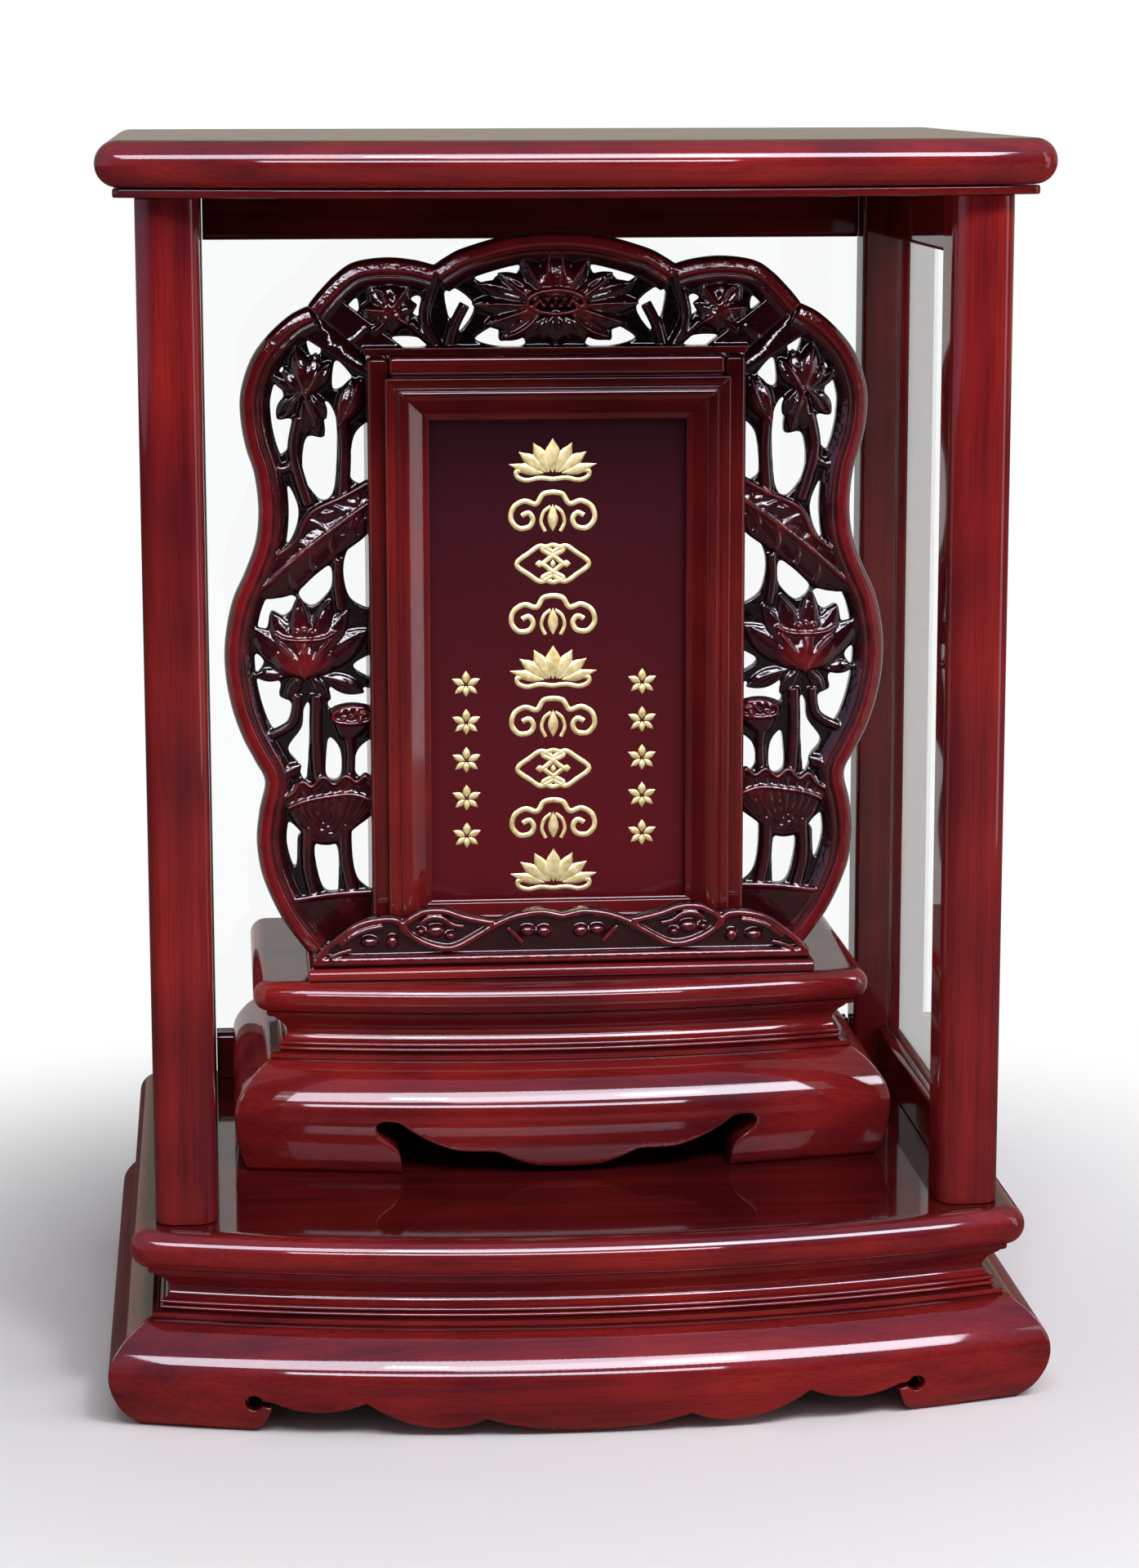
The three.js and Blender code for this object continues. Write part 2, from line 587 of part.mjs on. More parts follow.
const bossSteps = 5;
function carvedRailBody() {
  const back = carvedRail.front + carvedRail.thick;
  const plateFront = carvedRail.front + railRelief.deep;
  const place = (sign) => ([x, z]) => [sign * carvedRail.halfWidth * x, tabletZ + carvedRail.high * z];
  const crestLine = [...railCrestShares.slice(1).reverse().map(place(-1)), ...railCrestShares.map(place(1))];
  const lip = (line, near, far) => polygon([...beside(line, near), ...beside(line, far).reverse()]);
  const parts = [extrudeAlong('y', polygon(crestLine), plateFront, back)];
  const space = block(-carvedRail.halfWidth, carvedRail.halfWidth, carvedRail.front, back,
    tabletZ, tabletZ + carvedRail.high);
  parts.push(extrudeAlong('y', lip(crestLine, 0, railRelief.lip), carvedRail.front, back));
  parts.push(block(-carvedRail.halfWidth, carvedRail.halfWidth, carvedRail.front, back, tabletZ,
    tabletZ + carvedRail.foot));
  for (const sign of [-1, 1]) {
    const line = cartoucheShares.map(place(sign));
    parts.push(extrudeAlong('y', lip(line, -railRelief.lip / 2, railRelief.lip / 2), carvedRail.front, back));
    for (const [x, z] of bossShares.map(place(sign))) {
      const ball = new THREE.SphereGeometry(railRelief.boss, bossSteps, bossSteps);
      ball.translate(x, plateFront, z);
      parts.push(ball);
    }
  }
  return geometryOf(joined(parts).intersect(solid(space)));
}
addPiece('carved_rail', carvedRailBody(), carvedLacquer);

// The tablet's box. Its sides are grooved near the back for the sliding cover.
const boxInner = box.halfWidth - box.wall;
const coverBack = box.rear - cover.rearLip - seatGap;
const coverFront = coverBack - cover.thick;
for (const [side, sign] of [['left', -1], ['right', 1]]) {
  const shape = new THREE.Shape();
  const outerX = sign * box.halfWidth;
  const innerX = sign * boxInner;
  const bedX = sign * (boxInner + cover.groove);
  shape.moveTo(innerX, box.front);
  shape.lineTo(outerX - sign * box.round, box.front);
  shape.quadraticCurveTo(outerX, box.front, outerX, box.front + box.round);
  shape.lineTo(outerX, box.rear);
  shape.lineTo(innerX, box.rear);
  shape.lineTo(innerX, coverBack + seatGap);
  shape.lineTo(bedX, coverBack + seatGap);
  shape.lineTo(bedX, coverFront - seatGap);
  shape.lineTo(innerX, coverFront - seatGap);
  addPiece(`box_${side}`, extrudeAlong('z', shape, tabletZ, box.top, 4), darkLacquer);
}
const boxRear = coverFront - seatGap;
const between = boxInner - seatGap;
const boxLevels = { bottom: [tabletZ, tabletZ + box.floor], top: [box.top - box.wall, box.top] };
for (const [level, [z0, z1]] of Object.entries(boxLevels)) {
  addPiece(`box_${level}`, block(-between, between, box.front, boxRear, z0, z1), darkLacquer);
}

// The frame: four mitred mouldings with a raised bead and an inner bevel.
const frameShares = [[0, 1], [0, 0.25], [0.06, 0.1], [0.24, 0.1], [0.28, 0.03], [0.4, 0], [0.55, 0.04],
  [0.6, 0.14], [0.8, 0.72], [0.86, 0.78], [1, 0.82], [1, 1]];
function frameSection() {
  const wide = frame.halfWidth - frame.openHalf;
  const deep = frame.back - frame.front;
  return frameShares.map(([inShare, backShare]) => [wide * inShare, frame.front + deep * backShare]);
}

function frameMembers() {
  const section = frameSection();
  const outline = section.map(([inward, y]) => new THREE.Vector2(inward, y));
  const wide = frame.halfWidth - frame.openHalf;
  const lowWide = frame.openLow - frame.low;
  const members = {};
  const corner = (sx, sz, inward, shiftX, shiftZ) => {
    const x = sx * (frame.halfWidth - inward - shiftX);
    const z = sz > 0 ? frame.top - inward - shiftZ : frame.low + inward * (lowWide / wide) + shiftZ;
    return [x, z];
  };
  const ring = (sx, sz, shiftX, shiftZ) => outline.map((p) => {
    const [x, z] = corner(sx, sz, p.x, shiftX, shiftZ);
    return new THREE.Vector3(x, p.y, z);
  });
  members.left = loft([ring(-1, -1, 0, mitreGap), ring(-1, 1, 0, mitreGap)], outline);
  members.right = loft([ring(1, -1, 0, mitreGap), ring(1, 1, 0, mitreGap)], outline);
  members.top = loft([ring(-1, 1, mitreGap, 0), ring(1, 1, mitreGap, 0)], outline);
  members.bottom = loft([ring(-1, -1, mitreGap, 0), ring(1, -1, mitreGap, 0)], outline);
  return members;
}
for (const [side, member] of Object.entries(frameMembers())) {
  addPiece(`frame_${side}`, member, redLacquer);
}

// The inscription board stands bare inside the box, behind the frame.
const boardLow = tabletZ + box.floor + seatGap;
const boardTop = box.top - box.wall - seatGap;
const boardBack = board.front + board.thick;
const boardBody = block(-between, between, board.front, boardBack, boardLow, boardTop);
addPiece('inscription_board', boardBody, redLacquer);

// The rear cover slides up in its grooves; a shallow hollow near its top takes a finger.
const coverHalf = boxInner + cover.groove - seatGap;
const coverSolid = solid(block(-coverHalf, coverHalf, coverFront, coverBack, tabletZ, box.top - seatGap));
const finger = new THREE.CylinderGeometry(cover.finger, cover.finger, cover.fingerDeep + cutOver, 20);
finger.translate(0, coverBack + (cutOver - cover.fingerDeep) / 2, box.top - 2 * cover.finger);
addPiece('rear_cover', geometryOf(coverSolid.subtract(solid(finger))), darkLacquer);

// Name slips stand one behind another on the floor of the box.
const slipZ = tabletZ + box.floor + seatGap;
for (let i = 0; i < slip.count; i += 1) {
  const y0 = boardBack + slip.pitch * (i + 0.5);
  const body = block(-slip.wide / 2, slip.wide / 2, y0, y0 + slip.thick, slipZ, slipZ + slip.high);
  addPiece(`name_slip_${i + 1}`, body, slipWood);
}

// The pierced surround. A border is swept along an outline with a rounded, ridged section.
const borderShares = [[0, 1], [0, 0.3], [0.14, 0.07], [0.34, 0], [0.54, 0.16], [1, 0.48], [1, 1]];
const fretBack = fret.front + fret.thick;
const groundFront = fret.front + carving.ground;

function borderSweep(path) {
  const outline = borderShares.map(([inShare, backShare]) =>
    new THREE.Vector2(fret.border * inShare, fret.front + fret.thick * backShare));
  const lanes = outline.map((p) => beside(path, p.x));
  const rings = path.map((_, i) =>
    lanes.map((lane, j) => new THREE.Vector3(lane[i][0], outline[j].y, lane[i][1])));
  return loft(rings, outline);
}

// The ground that the carving stands on: a plate with its openings cut through.
function piercedGround(outline, openings) {
  const plate = solid(extrudeAlong('y', polygon(outline), groundFront, fretBack));
  const [from, to] = [groundFront - cutOver, fretBack + cutOver];
  const cuts = openings.map((points) => extrudeAlong('y', polygon(points), from, to));
  return plate.subtract(joined(cuts));
}

// A carved form: its outline sinks into the ground, and its front is drawn in towards its spine.
function carvedForm(outline, spine, rise, drawShare) {
  const front = outline.map(([x, z], i) => [
    THREE.MathUtils.lerp(x, spine[i][0], drawShare), THREE.MathUtils.lerp(z, spine[i][1], drawShare)]);
  const at = (points, y) => points.map(([x, z]) => new THREE.Vector3(x, y, z));
  const flat = outline.map(([x, z]) => new THREE.Vector2(x, z));
  return loft([at(outline, groundFront + carving.sink), at(front, groundFront - rise)], flat);
}

// A pointed petal from its root to its tip, with a spine that stops short of both.
const petalShares = [[0, 0], [0.36, 0.5], [0.74, 0.34], [1, 0], [0.74, -0.34], [0.36, -0.5]];
const spineShares = [0.16, 0.8];
const petalDrawShare = 0.72;
const stemDrawShare = 0.6;
const leafDrawShare = 0.45;
function petal(root, tip, wide, rise) {
  const [dx, dz] = [tip[0] - root[0], tip[1] - root[1]];
  const length = Math.hypot(dx, dz);
  const at = (along, aside) => [
    root[0] + dx * along - (dz / length) * wide * aside, root[1] + dz * along + (dx / length) * wide * aside];
  const outline = petalShares.map(([along, aside]) => at(along, aside));
  const spine = petalShares.map(([along]) => at(THREE.MathUtils.clamp(along, ...spineShares), 0));
  return carvedForm(outline, spine, rise, petalDrawShare);
}

// A stem: a ridged band along a bent line.
const stemSteps = 2;
function stem(from, bend, to, wide) {
  const line = quadraticPoints(from, bend, to, stemSteps);
  const outline = [...beside(line, -wide / 2), ...beside(line, wide / 2).reverse()];
  return carvedForm(outline, [...line, ...line.slice().reverse()], carving.stem, stemDrawShare);
}

// A leaf or a seed pod: its front is drawn in to the middle of its outline.
function leaf(outline) {
  const middle = [0, 1].map((axis) => outline.reduce((sum, point) => sum + point[axis], 0) / outline.length);
  return carvedForm(outline, outline.map(() => middle), carving.leaf, leafDrawShare);
}

// A wing's places are shares of its reach beyond the box and of its height to the shoulder. An
// opening beside the box runs out past the wing's inner edge. A petal has its root, its tip and
// its width as a share of the reach, and a stem a bend as well.
const wingEdgeShares = [
  [0.394, 1], [0.674, 0.955], [0.839, 0.888], [0.851, 0.812], [0.756, 0.722], [0.758, 0.657],
  [0.939, 0.55], [1, 0.464], [0.918, 0.362], [0.736, 0.276], [0.795, 0.182], [0.719, 0.099],
  [0.581, 0.04], [0.438, 0],
];
const wingOpeningShares = [
  [[0.317, 0.955], [0.365, 0.96], [0.401, 0.951], [0.376, 0.928], [0.304, 0.93]],
  [[0.551, 0.925], [0.58, 0.926], [0.654, 0.905], [0.557, 0.902]],
  [[0.094, 0.894], [0.197, 0.918], [0.22, 0.875], [0.172, 0.877]],
  [[-0.04, 0.821], [0.064, 0.81], [0.1, 0.737], [-0.04, 0.734]],
  [[0.245, 0.852], [0.298, 0.852], [0.282, 0.804], [0.401, 0.803], [0.431, 0.745], [0.298, 0.705],
    [0.22, 0.726], [0.2, 0.817]],
  [[0.654, 0.897], [0.665, 0.835], [0.605, 0.782], [0.569, 0.778], [0.521, 0.793], [0.502, 0.829],
    [0.612, 0.83], [0.563, 0.867]],
  [[0.534, 0.728], [0.622, 0.628], [0.557, 0.636], [0.491, 0.662], [0.473, 0.694]],
  [[-0.04, 0.662], [0.076, 0.647], [0.154, 0.617], [0.159, 0.581], [0.1, 0.55], [-0.04, 0.547]],
  [[0.256, 0.604], [0.476, 0.564], [0.388, 0.543], [0.284, 0.56]],
  [[0.493, 0.557], [0.732, 0.564], [0.813, 0.522], [0.708, 0.507], [0.669, 0.536], [0.573, 0.529]],
  [[-0.04, 0.465], [0.092, 0.454], [-0.04, 0.43]],
  [[-0.04, 0.408], [0.22, 0.426], [0.284, 0.394], [0.253, 0.382], [-0.04, 0.38]],
  [[0.725, 0.46], [0.813, 0.474], [0.805, 0.44]],
  [[0.621, 0.428], [0.797, 0.435], [0.661, 0.351], [0.621, 0.35], [0.557, 0.369], [0.541, 0.394]],
  [[0.412, 0.387], [0.452, 0.383], [0.468, 0.355], [0.565, 0.323], [0.476, 0.281], [0.437, 0.279]],
  [[-0.04, 0.334], [0.076, 0.32], [0.092, 0.281], [-0.04, 0.267]],
  [[0.276, 0.339], [0.3, 0.279], [0.236, 0.272], [0.197, 0.284], [0.204, 0.32]],
  [[-0.04, 0.219], [0.092, 0.212], [0.128, 0.188], [0.115, 0.135], [0.059, 0.107], [-0.04, 0.103]],
  [[0.236, 0.169], [0.381, 0.173], [0.324, 0.1], [0.245, 0.095]],
  [[0.485, 0.19], [0.58, 0.208], [0.541, 0.139], [0.509, 0.142]],
];
const wingPetalShares = [
  [[0.388, 0.867], [0.24, 0.915], 0.125], [[0.404, 0.867], [0.334, 0.931], 0.125],
  [[0.42, 0.867], [0.474, 0.939], 0.14], [[0.435, 0.867], [0.56, 0.907], 0.125],
  [[0.435, 0.865], [0.657, 0.899], 0.094], [[0.17, 0.819], [0.022, 0.891], 0.172],
  [[0.435, 0.436], [0.006, 0.505], 0.203], [[0.435, 0.436], [0.139, 0.536], 0.172],
  [[0.435, 0.436], [0.264, 0.552], 0.172], [[0.451, 0.436], [0.479, 0.56], 0.172],
  [[0.451, 0.436], [0.669, 0.535], 0.187], [[0.451, 0.436], [0.817, 0.512], 0.203],
];
const wingFrontShares = [
  [[0.435, 0.433], [0.217, 0.495], 0.218], [[0.451, 0.433], [0.669, 0.495], 0.218],
  [[0.443, 0.433], [0.443, 0.505], 0.234],
];
const wingSepalShares = [
  [[0.404, 0.87], [0.326, 0.803], 0.125], [[0.451, 0.87], [0.613, 0.831], 0.125],
  [[0.342, 0.436], [0.028, 0.408], 0.125], [[0.544, 0.436], [0.799, 0.438], 0.094],
];
const wingStemShares = [
  [[0.162, 0.822], [0.147, 0.774], [0.167, 0.715], 0.101],
  [[0.459, 0.833], [0.521, 0.774], [0.404, 0.709], 0.109],
  [[0.498, 0.767], [0.576, 0.753], [0.669, 0.76], 0.094],
  [[0.201, 0.609], [0.209, 0.578], [0.186, 0.543], 0.086],
  [[0.365, 0.399], [0.373, 0.343], [0.357, 0.275], 0.109],
  [[0.498, 0.399], [0.513, 0.361], [0.654, 0.343], 0.07],
  [[0.147, 0.343], [0.131, 0.309], [0.147, 0.264], 0.094],
  [[0.178, 0.195], [0.178, 0.147], [0.139, 0.099], 0.101],
  [[0.435, 0.192], [0.443, 0.137], [0.404, 0.095], 0.101],
];
const wingLeafShares = [
  [[0.005, 0.733], [0.401, 0.689], [0.509, 0.636], [0.629, 0.625], [0.771, 0.557], [0.529, 0.56],
    [0.154, 0.626], [0.005, 0.664]],
  [[0.003, 0.381], [0.271, 0.381], [0.193, 0.34], [0.1, 0.34], [0.003, 0.364]],
  [[0.006, 0.271], [0.092, 0.28], [0.186, 0.269], [0.295, 0.275], [0.466, 0.271], [0.576, 0.254],
    [0.591, 0.233], [0.435, 0.185], [0.31, 0.175], [0.201, 0.183], [0.03, 0.219]],
];
const wingFootShares = [0.43, 0.7];
const wingSteps = 26;

function wingBody() {
  const inner = box.halfWidth + seatGap;
  const reach = fret.wingReach - inner;
  const place = ([out, up]) => [inner + reach * out, THREE.MathUtils.lerp(tabletZ, fretHigh.shoulder, up)];
  const edge = splinePoints(wingEdgeShares.map(place), wingSteps);
  const band = fret.border / 2;
  const outline = [[inner, tabletZ], [inner, box.top], ...beside(edge, band)];
  const ground = piercedGround(outline, wingOpeningShares.map((opening) => opening.map(place)));
  const footTop = tabletZ + fretHigh.foot;
  const [footX, footTopX] = wingFootShares.map((out) => place([out, 0])[0] - band);
  const foot = polygon([[inner, tabletZ], [footX, tabletZ], [footTopX, footTop], [inner, footTop]]);
  const [shoulderX, shoulderZ] = place(wingEdgeShares[0]);
  const mitreBand = polygon([[inner, box.top], [inner, box.top - fret.border],
    [shoulderX + band, shoulderZ - fret.border], [shoulderX, shoulderZ]]);
  const parts = [
    borderSweep(edge),
    extrudeAlong('y', foot, groundFront - carving.sepal, fretBack),
    extrudeAlong('y', mitreBand, fret.front, fretBack),
    ...wingLeafShares.map((points) => leaf(points.map(place))),
  ];
  const layers = [
    [wingSepalShares, carving.sepal], [wingPetalShares, carving.back], [wingFrontShares, carving.front],
  ];
  for (const [petals, rise] of layers) {
    parts.push(...petals.map(([root, tip, wide]) => petal(place(root), place(tip), reach * wide, rise)));
  }
  for (const [from, bend, to, wide] of wingStemShares) {
    parts.push(stem(place(from), place(bend), place(to), reach * wide));
  }
  const space = block(inner, fret.wingReach + cutOver, fret.front - cutOver, box.rear, tabletZ, canopyZ);
  return ground.add(joined(parts)).intersect(solid(space));
}

// The crest spans the box's top between the shoulders. Its places are shares of the half span and
// of the height above the box, drawn on the right and mirrored.
const crestLobeShares = [
  [1, 0.4], [0.959, 0.505], [0.885, 0.659], [0.809, 0.756], [0.686, 0.792], [0.568, 0.771],
  [0.48, 0.724],
];
const crestArchShares = [[0.499, 0.715], [0.44, 0.794], [0.366, 0.867], [0.183, 0.97], [0, 1]];
const crestOpeningShares = [
  [[0.061, 0.771], [0.115, 0.758], [0.109, 0.698], [0.078, 0.705]],
  [[0.153, 0.737], [0.314, 0.644], [0.266, 0.57], [0.232, 0.64], [0.164, 0.636]],
  [[0.328, 0.388], [0.41, 0.542], [0.448, 0.493], [0.417, 0.206], [0.383, 0.191]],
  [[0.126, 0.143], [0.225, 0.101], [0.232, 0.235], [0.314, 0.15], [0.318, 0.107], [0.133, 0.068]],
  [[0.522, 0.417], [0.56, 0.48], [0.598, 0.417], [0.574, 0.332], [0.513, 0.276]],
  [[0.522, 0.068], [0.568, 0.141], [0.687, 0.135], [0.728, 0.068]],
  [[0.797, 0.351], [0.861, 0.37], [0.852, 0.482], [0.806, 0.492]],
];
const crestMiddleShares = [
  [[0, 0.445], [0, 0.82], 0.165], [[0, 0.313], [0, 0.06], 0.11],
];
const crestPetalShares = [
  [[0.073, 0.482], [0.133, 0.782], 0.064], [[0.092, 0.482], [0.234, 0.647], 0.082],
  [[0.11, 0.445], [0.311, 0.576], 0.092], [[0.11, 0.388], [0.339, 0.407], 0.082],
  [[0.092, 0.351], [0.284, 0.248], 0.092], [[0.073, 0.332], [0.227, 0.105], 0.101],
  [[0.037, 0.313], [0.124, 0.098], 0.082],
];
const crestLeafShares = [
  [0.668, 0.632], [0.751, 0.576], [0.788, 0.37], [0.742, 0.173], [0.659, 0.154], [0.586, 0.238],
  [0.559, 0.407], [0.595, 0.557],
];
const crestStemShares = [
  [[0.44, 0.032], [0.412, 0.22], [0.366, 0.388], 0.055],
  [[0.458, 0.032], [0.531, 0.295], [0.485, 0.632], 0.06],
  [[0.586, 0.257], [0.531, 0.144], [0.476, 0.051], 0.046],
  [[0.769, 0.22], [0.806, 0.144], [0.842, 0.107], 0.055],
];
const crestSteps = { arch: 12, lobe: 9 };

function crestBody() {
  const low = box.top + seatGap;
  const span = fret.shoulderX;
  const band = fret.border / 2;
  const place = (side) => ([out, up]) => [side * span * out, THREE.MathUtils.lerp(low, fretHigh.crest, up)];
  const rightArch = crestArchShares.map(place(1)).reverse();
  const arch = splinePoints([...crestArchShares.map(place(-1)), ...rightArch.slice(1)], crestSteps.arch);
  const leftLobe = splinePoints(crestLobeShares.map(place(-1)), crestSteps.lobe);
  const rightLobe = splinePoints(crestLobeShares.map(place(1)).reverse(), crestSteps.lobe);
  const paths = [leftLobe, arch, rightLobe];
  const corners = [[box.halfWidth, low], [-box.halfWidth, low]];
  const outline = [...paths.flatMap((path) => beside(path, band)), ...corners];
  const openings = [-1, 1].flatMap((side) => crestOpeningShares.map((opening) => opening.map(place(side))));
  const parts = paths.map(borderSweep);
  parts.push(block(-box.halfWidth, box.halfWidth, fret.front, fretBack, low, low + fretHigh.rail));
  for (const [root, tip, wide] of crestMiddleShares) {
    parts.push(petal(place(1)(root), place(1)(tip), span * wide, carving.front));
  }
  for (const side of [-1, 1]) {
    const at = place(side);
    const shoulder = at(crestLobeShares[0]);
    const foot = side * (box.halfWidth + seatGap);
    const inner = foot - side * fret.border;
    const mitreBand = [[foot, low], shoulder, [shoulder[0] - side * band, shoulder[1] + band],
      [inner, low + band], [inner, low]];
    parts.push(extrudeAlong('y', polygon(mitreBand), fret.front, fretBack));
    for (const [root, tip, wide] of crestPetalShares) {
      parts.push(petal(at(root), at(tip), span * wide, carving.back));
    }
    parts.push(leaf(crestLeafShares.map(at)));
    for (const [from, bend, to, wide] of crestStemShares) {
      parts.push(stem(at(from), at(bend), at(to), span * wide));
    }
  }
  const space = block(-fret.wingReach, fret.wingReach, fret.front - cutOver, box.rear, low, canopyZ);
  return piercedGround(outline, openings).add(joined(parts)).intersect(solid(space));
}

// The wings and the crest meet on the mitre between box corner and shoulder.
function mitreCut(side, below) {
  const low = new THREE.Vector2(side * box.halfWidth, box.top);
  const shoulder = new THREE.Vector2(side * fret.shoulderX, fretHigh.shoulder);
  const along = shoulder.clone().sub(low).normalize();
  const normal = new THREE.Vector2(-along.y, along.x).multiplyScalar(side);
  const shift = (below ? -1 : 1) * mitreGap;
  const reach = fret.wingReach;
  const start = low.clone().addScaledVector(normal, shift);
  const near = [-reach, reach].map((run) => start.clone().addScaledVector(along, run));
  const away = (below ? 1 : -1) * reach;
  const far = near.map((p) => p.clone().addScaledVector(normal, away)).reverse();
  const shape = polygon([...near, ...far].map((p) => [p.x, p.y]));
  return solid(extrudeAlong('y', shape, fret.front - cutOver, fretBack + cutOver));
}

const rightWing = wingBody().subtract(mitreCut(1, true));
addPiece('fret_wing_left', geometryOf(rightWing.mirror([1, 0, 0])), carvedLacquer);
addPiece('fret_wing_right', geometryOf(rightWing), carvedLacquer);
const crest = crestBody().subtract(mitreCut(-1, false)).subtract(mitreCut(1, false));
addPiece('fret_crest', geometryOf(crest), carvedLacquer);

export default shrine;
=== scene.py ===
# The finish of a lacquered rosewood ancestor shrine: its mouldings, pierced lotus surround,
# gilt ornament and glass, round the fixed frame. Sizes in the tables are millimetres.
import math

import bmesh
import bpy
import numpy as np
from mathutils import Matrix, Vector
from mathutils.geometry import delaunay_2d_cdt


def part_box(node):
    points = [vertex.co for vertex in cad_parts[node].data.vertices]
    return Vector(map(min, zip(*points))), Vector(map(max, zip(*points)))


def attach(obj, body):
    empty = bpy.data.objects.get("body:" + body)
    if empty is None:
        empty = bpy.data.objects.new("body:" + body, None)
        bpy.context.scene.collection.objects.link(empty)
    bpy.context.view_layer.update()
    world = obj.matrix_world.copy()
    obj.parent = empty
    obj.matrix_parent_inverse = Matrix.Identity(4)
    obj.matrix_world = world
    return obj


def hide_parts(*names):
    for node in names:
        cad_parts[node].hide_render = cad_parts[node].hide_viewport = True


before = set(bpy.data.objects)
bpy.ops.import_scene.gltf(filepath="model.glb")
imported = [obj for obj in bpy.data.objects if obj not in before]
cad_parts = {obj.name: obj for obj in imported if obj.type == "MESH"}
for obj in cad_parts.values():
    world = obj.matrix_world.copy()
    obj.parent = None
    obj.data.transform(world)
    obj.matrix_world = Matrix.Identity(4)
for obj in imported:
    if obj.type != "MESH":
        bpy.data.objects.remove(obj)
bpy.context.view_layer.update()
mm = 0.001


# The photograph's camera, in metres and radians. Its focal length and height are in pixels.
photoView = {"high": 1920, "focal": 4765.7, "sensor": 36.0, "yaw": 0.08931, "pitch": 0.18304,
    "roll": -0.00124, "place": (-0.14793, -1.7133, 0.57001), "clip": 0.05}


def addCamera(view):
    data = bpy.data.cameras.new("photoCamera")
    data.sensor_width = view["sensor"]
    data.lens = view["focal"] / view["high"] * view["sensor"]
    data.clip_start = view["clip"]
    camera = bpy.data.objects.new("photoCamera", data)
    yaw = Matrix.Rotation(-view["yaw"], 4, "Z")
    pitch = Matrix.Rotation(math.pi / 2 - view["pitch"], 4, "X")
    roll = Matrix.Rotation(view["roll"], 4, "Z")
    camera.matrix_world = Matrix.Translation(view["place"]) @ (yaw @ pitch) @ roll
    bpy.context.scene.collection.objects.link(camera)
    bpy.context.scene.camera = camera


addCamera(photoView)
print("camera placed")


# Fills a node's inputs: a socket is linked, a node stands for the first output that it shows, and
# anything else is a value.
def fillInputs(tree, node, inputs):
    for key, value in inputs.items():
        if isinstance(value, bpy.types.Node):
            value = next(socket for socket in value.outputs if not socket.is_unavailable)
        if isinstance(value, bpy.types.NodeSocket):
            tree.links.new(value, node.inputs[key])
        else:
            node.inputs[key].default_value = value


def addNode(tree, kind, inputs=None, **settings):
    node = tree.nodes.new(kind)
    for key, value in settings.items():
        setattr(node, key, value)
    fillInputs(tree, node, inputs or {})
    return node


# A colour from its sRGB hex value, as the linear one that the shaders take.
def linear(code):
    channels = [int(code[i:i + 2], 16) / 255 for i in (1, 3, 5)]
    return *(c / 12.92 if c <= 0.04045 else ((c + 0.055) / 1.055) ** 2.4 for c in channels), 1.0


# A material with one shader, and the object coordinates that its patterns are laid on.
def newMaterial(name, values):
    material = bpy.data.materials.new(name)
    material.use_nodes = True
    tree = material.node_tree
    tree.nodes.clear()
    shader = addNode(tree, "ShaderNodeBsdfPrincipled", values)
    addNode(tree, "ShaderNodeOutputMaterial", {"Surface": shader})
    return material, tree, shader, addNode(tree, "ShaderNodeTexCoord").outputs["Object"]


# A clear coat over stained wood that has no gloss of its own.
def coatOver(weight, roughness):
    return {"Roughness": 0.5, "Specular IOR Level": 0.0, "Coat Weight": weight,
        "Coat Roughness": roughness, "Coat IOR": 1.5}


# Sets a ramp's stops, each a place and a colour.
def setStops(ramp, stops):
    elements = ramp.color_ramp.elements
    elements[0].position, elements[1].position = stops[0][0], stops[-1][0]
    for at, _ in stops[1:-1]:
        elements.new(at)
    for element, (_, code) in zip(elements, stops):
        element.color = linear(code)


# Rosewood with a red stain under a thick clear lacquer: long soft streaks of stain and fine pores
# run along the grain axis of the piece, and the flowed coat gives sharp, slightly wavy highlights.
# The boards' flat upper faces are painted darker, as painted shade and reflection, not stain. A
# shade below 1 paints a whole copy darker, as painted shade.
# The last two shades paint copies of the lacquer darker: painted shade for parts that lie in shade.
lacquer = {"stain": [(0.36, "#541419"), (0.5, "#701A1B"), (0.66, "#86201D")], "cloud": 60,
    "streak": 7.5, "stretch": 0.03, "pore": 0.9, "poreStretch": 0.025, "poreDark": 0.8,
    "paintedTopShade": 0.42, "coat": 0.55, "wave": 26, "waveDeep": 0.25,
    "paintedShadeDeep": 0.55, "paintedShadeFrame": 0.75}


